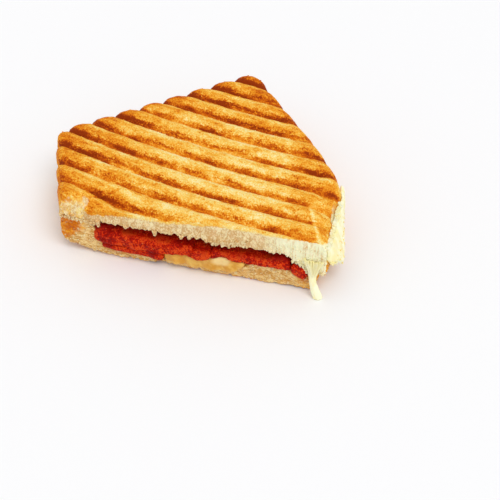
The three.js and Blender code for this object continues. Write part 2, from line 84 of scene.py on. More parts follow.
def shown(red: int, green: int, blue: int) -> Colour:
    """Turns a colour as a screen shows it into the linear colour of a finish.

    Args:
        red: Its red, 0 to 255.
        green: Its green, 0 to 255.
        blue: Its blue, 0 to 255.

    Returns:
        The linear colour, from 0 to 1.
    """
    return tuple(
        value / 12.92 if value <= 0.04045 else ((value + 0.055) / 1.055) ** 2.4
        for value in (red / 255, green / 255, blue / 255)
    )


@dataclass(frozen=True)
class Step:
    """A smooth step from 0 to 1 between two places."""

    low: float
    high: float

    def up(self, value: Array) -> Array:
        """Rises from 0 at the low place to 1 at the high one."""
        return smoothstep(value, self.low, self.high)

    def down(self, value: Array) -> Array:
        """Falls from 1 at the low place to 0 at the high one."""
        return 1 - smoothstep(value, self.low, self.high)


STRAND_START = Step(88.0, 102.0)


class Slot(Enum):
    """The material slots of the part's record."""

    TOP_CRUST = "top_crust"
    BASE_CRUST = "base_crust"
    SALAMI = "salami"
    CHEESE = "cheese"
    PALE_CHEESE = "pale_cheese"


class NodeWork:
    """What the trees of materials and shapes share: adding nodes and joining them."""

    tree: bpy.types.NodeTree

    def node(
        self, kind: str, feeds: dict[str | int, Feed] | None = None, **settings: str | bool,
    ) -> bpy.types.Node:
        """Adds a node.

        Args:
            kind: Its kind.
            feeds: What goes into its inputs, by name or number.
            settings: Its own settings.

        Returns:
            The node.
        """
        node = self.tree.nodes.new(kind)
        for name, value in settings.items():
            setattr(node, name, value)
        for key, source in (feeds or {}).items():
            self.join(source, node.inputs[key])
        return node

    def join(self, source: Feed, target: Socket) -> None:
        """Feeds a socket.

        Args:
            source: An output socket or a plain value.
            target: The input socket to feed.
        """
        if isinstance(source, bpy.types.NodeSocket):
            self.tree.links.new(source, target)
        else:
            target.default_value = source

    def maths(self, operation: str, a: Socket | float, b: Socket | float = 0.0) -> Socket:
        """Works out one step of arithmetic on two values."""
        return self.node("ShaderNodeMath", {0: a, 1: b}, operation=operation).outputs[0]

    def total(self, *values: Socket | float) -> Socket:
        """Adds several values up."""
        return reduce(lambda a, b: self.maths("ADD", a, b), values)


@dataclass(frozen=True)
class Pattern:
    """A cloudy pattern: size of its clouds, number of finer layers and their strength."""

    size: float
    detail: float
    rough: float = 0.55
    stretch: tuple[float, float, float] = (1.0, 1.0, 1.0)


@dataclass
class Shading(NodeWork):
    """A material's node tree, with a short method for each kind of node in use."""

    name: str
    material: bpy.types.Material = field(init=False)
    shader: bpy.types.Node = field(init=False)

    def __post_init__(self) -> None:
        """Starts the material with one shader joined to its output."""
        self.material = bpy.data.materials.new(self.name)
        self.material.use_nodes = True
        self.tree = self.material.node_tree
        self.tree.nodes.clear()
        self.shader = self.node("ShaderNodeBsdfPrincipled")
        self.node("ShaderNodeOutputMaterial", {"Surface": self.shader.outputs["BSDF"]})

    def attribute(self, name: str, vector: bool = False) -> Socket:
        """Reads one of the mesh's own attributes."""
        node = self.node("ShaderNodeAttribute", attribute_name=name)
        return node.outputs["Vector" if vector else "Fac"]

    def place(self) -> Socket:
        """Reads the place on the object, in metres."""
        return self.node("ShaderNodeTexCoord").outputs["Object"]

    def stretched(self, place: Socket, stretch: Sequence[float]) -> Socket:
        """Scales a place along each axis before a pattern reads it."""
        return self.node("ShaderNodeMapping", {"Vector": place, "Scale": stretch}).outputs[0]

    def noise(self, place: Socket, pattern: Pattern) -> Socket:
        """Reads a cloudy pattern.

        Args:
            place: Where it is read.
            pattern: Its sizes.

        Returns:
            A value around one half.
        """
        return self.node("ShaderNodeTexNoise", {
            "Vector": self.stretched(place, pattern.stretch),
            "Scale": 1.0 / pattern.size,
            "Detail": pattern.detail,
            "Roughness": pattern.rough,
        }).outputs[0]

    def cells(self, place: Socket, size: float) -> Socket:
        """Reads the distance to the nearest of scattered points, in cell sizes."""
        feeds = {"Vector": place, "Scale": 1.0 / size}
        return self.node("ShaderNodeTexVoronoi", feeds).outputs["Distance"]

    def swing(self, pattern: Socket, amount: Socket | float) -> Socket:
        """Turns a pattern around one half into one around zero, this strong."""
        return self.maths("MULTIPLY", self.maths("SUBTRACT", pattern, 0.5), amount)

    def rise(self, value: Socket, low: float, high: float, top: float = 1.0) -> Socket:
        """Rises smoothly from 0 at low to a top value at high."""
        feeds = {"Value": value, "From Min": low, "From Max": high, "To Max": top}
        return self.node("ShaderNodeMapRange", feeds, interpolation_type="SMOOTHSTEP").outputs[0]

    def ramp(self, value: Socket, stops: Sequence[tuple[float, Colour]]) -> Socket:
        """Turns a value into a colour.

        Args:
            value: The value.
            stops: Values and the colours that they get.

        Returns:
            The colour, mixed from the two nearest stops.
        """
        node = self.node("ShaderNodeValToRGB", {"Fac": value})
        elements = node.color_ramp.elements
        while len(elements) < len(stops):
            elements.new(1.0)
        for element, (position, colour) in zip(elements, stops):
            element.position = position
            element.color = (*colour, 1.0)
        return node.outputs["Color"]

    def blend(self, share: Socket | float, a: Socket | Colour, b: Socket | Colour) -> Socket:
        """Mixes two colours.

        Args:
            share: The share of the second colour.
            a: The first colour.
            b: The second colour.

        Returns:
            The mixed colour.
        """
        feeds = {"Factor": share}
        for key, source in (("A", a), ("B", b)):
            feeds[key] = (*source, 1.0) if isinstance(source, tuple) else source
        return self.node("ShaderNodeMix", feeds, data_type="RGBA").outputs["Result"]

    def bump(self, height: Socket, depth: float, strength: float) -> None:
        """Adds fine relief to the shader's normal, this deep in metres and this strong."""
        feeds = {"Strength": strength, "Distance": depth, "Height": height}
        self.paint(Normal=self.node("ShaderNodeBump", feeds).outputs["Normal"])

    def paint(self, **feeds: Feed) -> None:
        """Feeds the shader's own sockets, named with underscores for spaces."""
        for name, source in feeds.items():
            self.join(source, self.shader.inputs[name.replace("_", " ")])


@dataclass(frozen=True)
class BreadFinish:
    """Toasted crust that turns into pale crumb where the bread is cut or torn."""

    name: str
    crumb_light: Colour = shown(253, 234, 184)
    crumb_shade: Colour = shown(220, 178, 118)
    crumb_warm: Colour = shown(234, 186, 128)
    crumb_white: Colour = shown(255, 252, 212)
    palest: Colour = shown(255, 238, 172)
    cream: Colour = shown(253, 212, 108)
    golden: Colour = shown(246, 172, 48)
    orange: Colour = shown(224, 124, 14)
    brown: Colour = shown(194, 86, 8)
    dark: Colour = shown(150, 54, 4)
    oil: Colour = shown(206, 78, 34)
    blotch: float = 0.4
    mottle: float = 0.5
    grain: float = 0.85
    drift: float = 0.75
    lie: tuple[float, float, float] = (1.0, 1.0, 0.6)
    mottles: Pattern = Pattern(2.0, 3.0, 0.6, (0.6, 1.0, 1.0))
    drifts: Pattern = Pattern(4.0, 2.0, 0.55, (0.25, 0.8, 0.8))
    smears: Pattern = Pattern(5.0, 2.0, 0.55, (0.5, 1.0, 1.0))
    grains: Pattern = Pattern(0.7 * MM, 2.0, 0.6)
    blotches: Pattern = Pattern(9 * MM, 2.0)
    specks: Pattern = Pattern(0.8 * MM, 1.0, 0.4)
    fibres: Pattern = Pattern(1.2 * MM, 4.0, 0.65)
    pores: Pattern = Pattern(3.2 * MM, 3.0, 0.6)
    warmth: Pattern = Pattern(5.0 * MM, 2.0)
    strands: Pattern = Pattern(1.1 * MM, 3.0, 0.6, (1.0, 1.0, 0.15))
    roughening: Pattern = Pattern(0.9 * MM, 4.0, 0.65)
    relief_depth: float = 0.55 * MM
    relief_strength: float = 0.85

    def material(self) -> bpy.types.Material:
        """Makes the finish.

        Returns:
            A material that reads the attributes toast, groove, scorch, crumb, streak,
            stain and along.
        """
        tree = Shading(self.name)
        place = tree.place()
        along = tree.attribute("along", vector=True)
        mottle = tree.noise(along, self.mottles)
        grain = tree.noise(place, self.grains)
        crust = self.crust(tree, place, along, mottle, grain)
        fibre, pale = self.inside(tree, place)
        edge = tree.total(
            tree.attribute("crumb"), tree.swing(fibre, 0.8), tree.swing(mottle, 0.8),
            tree.swing(grain, 0.5))
        colour = tree.blend(tree.rise(edge, 0.3, 0.7), crust, pale)
        height = tree.total(tree.noise(place, self.roughening), tree.swing(fibre, 0.6))
        tree.bump(height, self.relief_depth, self.relief_strength)
        tree.paint(
            Base_Color=tree.blend(tree.attribute("stain"), colour, self.oil),
            Roughness=tree.total(0.6, tree.swing(mottle, -0.3)),
            Subsurface_Weight=0.08,
            Subsurface_Radius=(1.0, 0.6, 0.3),
            Subsurface_Scale=1.2 * MM,
            Specular_IOR_Level=0.06,
        )
        return tree.material

    def crust(
        self, tree: Shading, place: Socket, along: Socket, mottle: Socket, grain: Socket,
    ) -> Socket:
        """Colours the crust by how brown it is.

        Args:
            tree: The material in the making.
            place: Where the patterns are read.
            along: The same, but following the plate's ridges.
            mottle: A pattern of spots.
            grain: A pattern of fine grains.

        Returns:
            The crust's colour.
        """
        drift = tree.noise(along, self.drifts)
        ragged = tree.total(
            tree.attribute("groove"), tree.swing(mottle, 1.3), tree.swing(grain, 1.0),
            tree.swing(tree.noise(along, self.smears), 0.9))
        band = tree.maths("MULTIPLY", tree.rise(ragged, 0.1, 1.0), tree.attribute("scorch"))
        band = tree.maths("MULTIPLY", band, tree.total(0.92, tree.swing(drift, 2.4)))
        blotch = tree.swing(tree.noise(place, self.blotches), self.blotch)
        specks = tree.rise(tree.noise(place, self.specks), 0.68, 0.76, 0.25)
        browning = tree.total(
            tree.attribute("toast"), band, blotch, specks, tree.swing(drift, self.drift),
            tree.swing(mottle, self.mottle), tree.swing(grain, self.grain))
        tones = (self.palest, self.cream, self.golden, self.orange, self.brown, self.dark)
        return tree.ramp(browning, [(i / (len(tones) - 1), tone) for i, tone in enumerate(tones)])

    def inside(self, tree: Shading, place: Socket) -> tuple[Socket, Socket]:
        """Colours the crumb.

        Args:
            tree: The material in the making.
            place: Where the patterns are read.

        Returns:
            The pattern of its fibres and its colour.
        """
        lying = tree.stretched(place, self.lie)
        fibre, pores, grain = (
            tree.noise(lying, pattern) for pattern in (self.fibres, self.pores, self.grains))
        depth = tree.total(
            tree.swing(fibre, 1.2), tree.swing(pores, 1.1), tree.swing(grain, 2.0), 0.5)
        pale = tree.blend(tree.rise(depth, 0.2, 0.8), self.crumb_shade, self.crumb_light)
        warm = tree.rise(tree.noise(place, self.warmth), 0.48, 0.68, 0.35)
        pale = tree.blend(warm, pale, self.crumb_warm)
        strand = tree.rise(tree.noise(place, self.strands), 0.28, 0.56)
        white = tree.maths("MULTIPLY", tree.attribute("streak"), strand)
        return fibre, tree.blend(white, pale, self.crumb_white)


@dataclass(frozen=True)
class SalamiFinish:
    """Minced, oily red sausage; its fatty specks double as painted oily highlights, and painted
    shade darkens it deep in the sandwich.
    """

    name: str = "salami_red"
    # Painted shade: the colour the meat is blended towards high up and behind the cut, under the
    # top slice.
    dark: Colour = shown(136, 4, 0)
    deep: Colour = shown(144, 10, 0)
    red: Colour = shown(198, 28, 0)
    bright: Colour = shown(232, 80, 20)
    # Pale fatty specks, which also stand in for painted oily highlights.
    fat_and_glint: Colour = shown(248, 136, 76)
    folds: Pattern = Pattern(6.0 * MM, 1.0, 0.55, (1.0, 1.0, 0.4))
    mince: Pattern = Pattern(2.8 * MM, 3.0, 0.6)
    grains: Pattern = Pattern(0.7 * MM, 3.0, 0.6)
    fleck_size: float = 2.2 * MM
    relief_depth: float = 0.6 * MM
    relief_strength: float = 0.8

    def material(self) -> bpy.types.Material:
        """Makes the finish.

        Returns:
            A material that reads the attribute sunk, the painted shade of the meat deep in the
            sandwich.
        """
        tree = Shading(self.name)
        place = tree.place()
        fold, mince, grain = (
            tree.noise(place, pattern) for pattern in (self.folds, self.mince, self.grains))
        mixed = tree.total(mince, tree.swing(grain, 1.2), tree.swing(fold, 0.9))
        meat = tree.ramp(mixed, ((0.32, self.deep), (0.5, self.red), (0.7, self.bright)))
        # Fatty specks that also serve as painted oily highlights.
        fat_and_glint_flecks = tree.rise(tree.cells(place, self.fleck_size), 0.2, 0.08)
        colour = tree.blend(tree.maths("MULTIPLY", fat_and_glint_flecks, 0.45), meat, self.fat_and_glint)
        # Painted shade: deep in the sandwich and along its folds the meat is blended towards the
        # dark red.
        painted_shade = tree.total(
            tree.attribute("painted_shade"), tree.swing(mince, 0.5), tree.swing(fold, 0.9))
        tree.bump(mixed, self.relief_depth, self.relief_strength)
        tree.paint(
            Base_Color=tree.blend(tree.rise(painted_shade, 0.1, 0.9, 0.92), colour, self.dark),
            Roughness=tree.total(0.42, tree.swing(mince, 0.4)),
            Subsurface_Weight=0.04,
            Subsurface_Radius=(1.0, 0.2, 0.05),
            Subsurface_Scale=1.0 * MM,
            Specular_IOR_Level=0.07,
        )
        return tree.material


@dataclass(frozen=True)
class CheeseFinish:
    """Melted cheese: soft, a little see-through and shiny."""

    name: str
    light: Colour
    deep: Colour
    lump: Colour = shown(246, 218, 152)
    stretch: tuple[float, float, float] = (1.0, 1.0, 1.0)
    clouds: Pattern = Pattern(4.5 * MM, 2.0, 0.5)
    curds: Pattern = Pattern(1.2 * MM, 3.0, 0.6)
    relief_depth: float = 0.4 * MM
    relief_strength: float = 0.5

    def material(self) -> bpy.types.Material:
        """Makes the finish.

        Returns:
            A material that reads the attribute pale.
        """
        tree = Shading(self.name)
        place = tree.stretched(tree.place(), self.stretch)
        cloud, curd = tree.noise(place, self.clouds), tree.noise(place, self.curds)
        shade = tree.total(cloud, tree.swing(curd, 0.35))
        colour = tree.blend(tree.rise(shade, 0.34, 0.66), self.light, self.deep)
        pale = tree.total(tree.attribute("pale"), tree.swing(curd, 0.6))
        height = tree.total(cloud, tree.swing(curd, 0.6))
        tree.bump(height, self.relief_depth, self.relief_strength)
        tree.paint(
            Base_Color=tree.blend(tree.rise(pale, 0.2, 0.9, 0.8), colour, self.lump),
            Roughness=tree.total(0.34, tree.swing(curd, 0.3)),
            Subsurface_Weight=0.2,
            Subsurface_Radius=(1.0, 0.75, 0.4),
            Subsurface_Scale=1.6 * MM,
            Specular_IOR_Level=0.35,
        )
        return tree.material


@dataclass(frozen=True)
class Relief:
    """One layer of relief: a cloudy pattern that moves a surface in and out."""

    name: str
    size: float
    depth: float
    detail: float
    seed: float


def relief_sizes(*layers: Relief) -> dict[str, float]:
    """Lists the sizes and depths of layers of relief.

    Args:
        layers: The layers.

    Returns:
        A tree's named inputs, in metres.
    """
    sizes = {}
    for layer in layers:
        sizes[f"{layer.name} size"] = layer.size * MM
        sizes[f"{layer.name} depth"] = layer.depth * MM
    return sizes


@dataclass
class GeometryTree(NodeWork):
    """A geometry node tree with named inputs for its sizes."""

    name: str
    sizes: dict[str, float]
    entry: bpy.types.Node = field(init=False)

    def __post_init__(self) -> None:
        """Starts the tree with its sockets."""
        self.tree = bpy.data.node_groups.new(self.name, "GeometryNodeTree")
        sockets = [("Geometry", "INPUT", "Geometry")]
        sockets += [(size, "INPUT", "Float") for size in self.sizes]
        sockets += [("Material", "INPUT", "Material"), ("Geometry", "OUTPUT", "Geometry")]
        for name, side, kind in sockets:
            self.tree.interface.new_socket(name, in_out=side, socket_type=f"NodeSocket{kind}")
        self.entry = self.node("NodeGroupInput")

    def size(self, name: str) -> Socket:
        """Reads one of the tree's named inputs."""
        return self.entry.outputs[name]

    def here(self) -> Socket:
        """Reads the place of each point."""
        return self.node("GeometryNodeInputPosition").outputs[0]

    def vectors(self, operation: str, a: Feed, b: Feed) -> Socket:
        """Works out one step of arithmetic on two vectors."""
        return self.node("ShaderNodeVectorMath", {0: a, 1: b}, operation=operation).outputs[0]

    def scaled(self, vector: Socket, amount: Socket | float) -> Socket:
        """Scales a vector by a number."""
        feeds = {0: vector, "Scale": amount}
        return self.node("ShaderNodeVectorMath", feeds, operation="SCALE").outputs[0]

    def attribute(self, name: str) -> Socket:
        """Reads one of the mesh's own attributes."""
        kind = "GeometryNodeInputNamedAttribute"
        return self.node(kind, {"Name": name}, data_type="FLOAT").outputs[0]

    def noise(self, place: Socket, size: Socket | float, detail: float, seed: float) -> Socket:
        """Reads a cloudy pattern.

        Args:
            place: Where it is read.
            size: Size of its clouds, in metres.
            detail: How many finer layers it has.
            seed: Which pattern of many it is.

        Returns:
            A value around zero.
        """
        node = self.node("ShaderNodeTexNoise", {
            "Vector": place,
            "Scale": self.maths("DIVIDE", 1.0, size),
            "Detail": detail,
            "W": seed,
        }, noise_dimensions="4D")
        return self.maths("SUBTRACT", node.outputs[0], 0.5)

    def layer(self, place: Socket, relief: Relief) -> Socket:
        """Reads a layer of relief, whose size and depth are inputs of the tree."""
        waves = self.noise(place, self.size(f"{relief.name} size"), relief.detail, relief.seed)
        return self.maths("MULTIPLY", waves, self.size(f"{relief.name} depth"))

    def random(self, kind: str, low: Feed, high: Feed, seed: int) -> Socket:
        """Draws a fixed random value for each point.

        Args:
            kind: FLOAT or FLOAT_VECTOR.
            low: The lowest value.
            high: The highest value.
            seed: Which draw it is.

        Returns:
            The value drawn.
        """
        first, output = {"FLOAT_VECTOR": (0, 0), "FLOAT": (2, 1)}[kind]
        feeds = {first: low, first + 1: high, "Seed": seed}
        return self.node("FunctionNodeRandomValue", feeds, data_type=kind).outputs[output]

    def moved(self, geometry: Socket, offset: Socket) -> Socket:
        """Moves the points of a geometry."""
        feeds = {"Geometry": geometry, "Offset": offset}
        return self.node("GeometryNodeSetPosition", feeds).outputs["Geometry"]

    def raised(self, geometry: Socket, height: Socket) -> Socket:
        """Moves a surface along its normal, by a height in metres."""
        normal = self.node("GeometryNodeInputNormal").outputs[0]
        return self.moved(geometry, self.scaled(normal, height))

    def copies(self, points: Socket, shape: Socket) -> bpy.types.Node:
        """Puts a copy of a shape on each point."""
        return self.node("GeometryNodeInstanceOnPoints", {"Points": points, "Instance": shape})

    def real(self, geometry: Socket) -> Socket:
        """Turns copies into real geometry."""
        return self.node("GeometryNodeRealizeInstances", {"Geometry": geometry}).outputs[0]

    def displace(self, height: Socket) -> "GeometryTree":
        """Ends the tree by moving the surface along its normal.

        Args:
            height: How far, in metres.

        Returns:
            The tree itself.
        """
        self.close(self.raised(self.entry.outputs["Geometry"], height))
        return self

    def close(self, geometry: Socket) -> None:
        """Ends the tree in Realize Instances and Set Material."""
        feeds = {"Geometry": self.real(geometry), "Material": self.entry.outputs["Material"]}
        self.node("NodeGroupOutput", {0: self.node("GeometryNodeSetMaterial", feeds).outputs[0]})

    def apply(self, piece: bpy.types.Object, material: bpy.types.Material) -> bpy.types.Object:
        """Runs the tree on a piece and keeps the result as its plain mesh.

        Args:
            piece: The object whose mesh goes into the tree.
            material: The finish that the tree sets.

        Returns:
            The same object, with its new mesh and no modifier.
        """
        modifier = piece.modifiers.new(self.name, "NODES")
        modifier.node_group = self.tree
        values = {**self.sizes, "Material": material}
        for item in self.tree.interface.items_tree:
            if item.name in values:
                modifier[item.identifier] = values[item.name]
        return baked(piece)


def baked(piece: bpy.types.Object) -> bpy.types.Object:
    """Keeps what a piece's modifiers make as its plain mesh, and removes them.

    Args:
        piece: The object to bake.

    Returns:
        The same object.
    """
    bpy.context.view_layer.update()
    made = bpy.data.meshes.new_from_object(
        piece.evaluated_get(bpy.context.evaluated_depsgraph_get()),
        preserve_all_data_layers=True,
        depsgraph=bpy.context.evaluated_depsgraph_get(),
    )
    piece.modifiers.clear()
    old = piece.data
    piece.data = made
    bpy.data.meshes.remove(old)
    made.name = piece.name
    return piece


def linked(name: str, data: bpy.types.ID) -> bpy.types.Object:
    """Puts a new object into the scene.

    Args:
        name: The object's name.
        data: Its mesh, lamp or camera.

    Returns:
        The object.
    """
    piece = bpy.data.objects.new(name, data)
    bpy.context.scene.collection.objects.link(piece)
    return piece


def merged_copy(node: str, name: str) -> bpy.types.Object:
    """Copies a solid's mesh and merges its loose triangles.

    Args:
        node: The solid to copy.
        name: The new object's name.

    Returns:
        The new object.
    """
    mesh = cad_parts[node].data.copy()
    mesh.materials.clear()
    work = bmesh.new()
    work.from_mesh(mesh)
    bmesh.ops.remove_doubles(work, verts=work.verts, dist=MERGE_DISTANCE)
    work.to_mesh(mesh)
    work.free()
    return linked(name, mesh)


def soft_body(node: str, name: str, voxel: float, smoothing: int) -> bpy.types.Object:
    """Makes a fine, even, closed mesh in a solid's shape.

    Args:
        node: The solid to follow.
        name: The new object's name.
        voxel: The size of the mesh's faces, in millimetres.
        smoothing: How many times its facets are smoothed.

    Returns:
        The new object.
    """
    piece = merged_copy(node, name)
    remesh = piece.modifiers.new("even", "REMESH")
    remesh.mode = "VOXEL"
    remesh.voxel_size = voxel * MM
    smooth = piece.modifiers.new("smooth", "SMOOTH")
    smooth.factor = 0.5
    smooth.iterations = smoothing
    return baked(piece)


@dataclass
class Surface:
    """The vertices of a piece in the cut's own frame, in millimetres."""

    piece: bpy.types.Object
    u: Array = field(init=False)
    v: Array = field(init=False)
    z: Array = field(init=False)
    normal: Array = field(init=False)

    def __post_init__(self) -> None:
        """Reads the places and normals of the vertices."""
        mesh = self.piece.data
        place = self.read(mesh.vertices, "co") / MM
        self.u = place[:, 0] + FOOTPRINT_MIDDLE[0]
        self.v = place[:, 1] + FOOTPRINT_MIDDLE[1]
        self.z = place[:, 2]
        self.normal = self.read(mesh.vertex_normals, "vector")

    def read(self, source: bpy.types.bpy_prop_collection, name: str) -> Array:
        """Reads three numbers for each vertex.

        Args:
            source: The vertices or their normals.
            name: What is read of each.

        Returns:
            An array with a row for each vertex.
        """
        values = np.empty(len(source) * 3, np.float32)
        source.foreach_get(name, values)
        return values.reshape(-1, 3).astype(float)

    def front(self, facing: Step, reach: Step) -> Array:
        """Whether a place faces the front, near the cut, from 0 to 1."""
        return facing.up(-self.normal[:, 1]) * reach.down(self.v)

    def keep(self, name: str, values: Array) -> None:
        """Stores one number for each vertex as an attribute."""
        attribute = self.piece.data.attributes.new(name, "FLOAT", "POINT")
        attribute.data.foreach_set("value", values.astype(np.float32))

    def keep_vector(self, name: str, *values: Array) -> None:
        """Stores three numbers for each vertex as an attribute."""
        attribute = self.piece.data.attributes.new(name, "FLOAT_VECTOR", "POINT")
        attribute.data.foreach_set("vector", np.stack(values, axis=1).astype(np.float32).ravel())


def from_line(u: Array, v: Array, a: Sequence[float], b: Sequence[float]) -> Array:
    """Measures how far places are from a straight line in plan.

    Args:
        u: The places' u.
        v: The places' v.
        a: Where the line starts.
        b: Where it ends.

    Returns:
        The distances.
    """
    run = b[0] - a[0], b[1] - a[1]
    length = max(run[0] ** 2 + run[1] ** 2, TINY)
    share = np.clip(((u - a[0]) * run[0] + (v - a[1]) * run[1]) / length, 0, 1)
    return np.hypot(u - a[0] - share * run[0], v - a[1] - share * run[1])


@dataclass(frozen=True)
class PlanOutline:
    """A slice's outline in plan, from corners of (u, v, cutback)."""

    corners: tuple[tuple[float, float, float], ...]
    arc_steps: int = 5

    def points(self) -> Array:
        """Lays out the outline's points.

        Returns:
            An array of (u, v) points in order.
        """
        corners = np.array(self.corners)
        places = corners[:, :2]
        found = []
        for i, (corner, cutback) in enumerate(zip(places, corners[:, 2])):
            before = places[i - 1] - corner
            after = places[(i + 1) % len(places)] - corner
            start = corner + before / np.linalg.norm(before) * cutback
            end = corner + after / np.linalg.norm(after) * cutback
            for t in np.linspace(0.0, 1.0, self.arc_steps + 1):
                found.append((1 - t) ** 2 * start + 2 * t * (1 - t) * corner + t * t * end)
        return np.array(found)

    def depth(self, u: Array, v: Array) -> Array:
        """Measures how far inside the outline places are.

        Args:
            u: The places' u.
            v: The places' v.

        Returns:
            The distance to the edge, positive inside.
        """
        points = self.points()
        nearest = np.full(u.shape, np.inf)
        inside = np.zeros(u.shape, bool)
        for a, b in zip(points, np.roll(points, -1, axis=0)):
            nearest = np.minimum(nearest, from_line(u, v, a, b))
            rise = b[1] - a[1]
            if abs(rise) > TINY:
                crosses = (a[1] > v) != (b[1] > v)
                inside ^= crosses & (u < a[0] + (v - a[1]) / rise * (b[0] - a[0]))
        return np.where(inside, nearest, -nearest)


@dataclass(frozen=True)
class RidgePress:
    """The grill plate's ridges, which bow a little across the bread."""

    pitch: float = 10.4
    depth: float = 2.8
    first_groove: float = -2.0
    anchor: float = 50.0
    slope: float = -0.2
    curve: float = 0.00096
    behind: Step = Step(0.05, 0.38)
    before: Step = Step(0.88, 1.0)
    crest: float = 0.72
    crest_width: float = 0.13

    def bow(self, u: Array) -> Array:
        """How far the ridge lines bow from straight."""
        start = u - self.anchor
        return self.slope * start + self.curve * start * start

    def phase(self, u: Array, v: Array) -> Array:
        """Where between two grooves a place is, from 0 in one to 1 in the next."""
        turns = (v - self.bow(u) - self.first_groove) / self.pitch
        return turns - np.floor(turns)

    def browned(self, u: Array, v: Array) -> Array:
        """Where the plate browns most: in the groove and up the slope behind it."""
        phase = self.phase(u, v)
        return np.maximum(self.behind.down(phase), self.before.up(phase))

    def palest(self, u: Array, v: Array) -> Array:
        """The back of each crest, palest partly as less browned crust and partly as a painted
        highlight.
        """
        return np.exp(-((self.phase(u, v) - self.crest) / self.crest_width) ** 2)


TOP_OUTLINE = PlanOutline((
    (13.2, -40, 0.01),
    (-18.4, 44, 7),
    (60.4, 111.3, 9),
    (101.6, 63.4, 9),
    (119.8, 38, 12),
    (120, -40, 0.01),
))
BASE_OUTLINE = PlanOutline((
    (13.1, -40, 0.01),
    (-18.6, 44.6, 7),
    (60, 111.8, 9),
    (101, 62.4, 9),
    (118, 37, 12),
    (112.6, -40, 0.01),
))


@dataclass
class BreadSlice:
    """One slice of toasted bread, with its crust, its cut and its crumb."""

    node: str
    name: str
    slot: Slot
    outline: PlanOutline
    finish: BreadFinish
    press: RidgePress = RidgePress()
    voxel: float = 0.52
    smoothing: int = 3
    pebbles: Relief = Relief("Pebble", 1.5, 0.42, 2.0, 1.0)
    lumps: Relief = Relief("Lump", 6.0, 0.8, 1.0, 2.0)
    pores: Relief = Relief("Pore", 2.2, 1.1, 2.5, 3.0)
    strands: Relief = Relief("Streak", 1.5, 1.5, 2.0, 4.0)
    strand_stretch: tuple[float, float, float] = (1.0, 1.0, 0.16)
    u: Array = field(init=False)
    v: Array = field(init=False)
    z: Array = field(init=False)
    normal: Array = field(init=False)
    depth: Array = field(init=False)

    def build(self) -> bpy.types.Object:
        """Makes the slice's mesh and its finish.

        Returns:
            The finished piece.
        """
        piece = soft_body(self.node, self.name, self.voxel, self.smoothing)
        surface = Surface(piece)
        self.u, self.v, self.z, self.normal = surface.u, surface.v, surface.z, surface.normal
        self.depth = self.outline.depth(self.u, np.maximum(self.v, 0.0))
        for name, values in self.marks().items():
            surface.keep(name, values)
        surface.keep_vector("along", self.u, self.v - self.press.bow(self.u), self.z)
        return self.relief().apply(piece, self.finish.material())

    def marks(self) -> dict[str, Array]:
        """Works out where the slice is browned, torn, streaked or stained.

        Returns:
            For each attribute that the finish and the relief read, its values.
        """
        return {
            "crumb": np.clip(self.crumb(), 0, 1),
            "toast": self.toast(),
            "groove": self.press.browned(self.u, self.v),
            "scorch": self.scorch(),
            "streak": self.streak(),
            "stain": self.stain(),
            "dent": self.dent(),
        }

    def cut_share(self) -> Array:
        """Finds the cut face, which reaches less deep near its top.

        Returns:
            Its share at each place, from 0 to 1.
        """
        facing = Step(0.2, 0.6).up(-self.normal[:, 1])
        high = Step(22.0, 25.0).up(self.z)
        return facing * (1 - smoothstep(self.v + 1.7 * high, 0.5, 2.0 - 0.6 * high))

    def hidden(self, facing: Array) -> Array:
        """Finds the face that lies against the filling, from how far places face it."""
        return Step(0.1, 0.5).up(facing) * Step(2.0, 5.0).up(self.depth)

    def oiled(self) -> Array:
        """How far red oil spreads behind the cut, from 1 down to 0."""
        return Step(4.0, 12.0).down(self.v)

    def crumb(self) -> Array:
        """How much a place shows crumb and not crust, from 0 to 1."""
        raise NotImplementedError

    def toast(self) -> Array:
        """How brown the crust is between the plate's marks, from 0 to 1."""
        raise NotImplementedError

    def scorch(self) -> Array:
        """How strong the plate's marks are, from 0 to 1."""
        raise NotImplementedError

    def stain(self) -> Array:
        """How much red oil has soaked in, from 0 to 1."""
        raise NotImplementedError

    def streak(self) -> Array:
        """How much the crumb is pulled into upright strands, from 0 to 1."""
        return np.zeros_like(self.u)

    def dent(self) -> Array:
        """How far a place is pushed in or swells, in metres."""
        return np.zeros_like(self.u)

    def relief(self) -> GeometryTree:
        """Builds the tree that roughens the crust and opens the crumb's pores.

        Returns:
            The tree, ready to run on the slice.
        """
        layers = (self.pebbles, self.lumps, self.pores, self.strands)
        tree = GeometryTree(f"{self.name}_relief", relief_sizes(*layers))
        place = tree.here()
        upright = tree.vectors("MULTIPLY", place, self.strand_stretch)
        pores, strands = tree.layer(place, self.pores), tree.layer(upright, self.strands)
        return tree.displace(tree.total(
            tree.layer(place, self.pebbles),
            tree.layer(place, self.lumps),
            tree.maths("MULTIPLY", pores, tree.attribute("crumb")),
            tree.maths("MULTIPLY", strands, tree.attribute("streak")),
            tree.attribute("dent")))


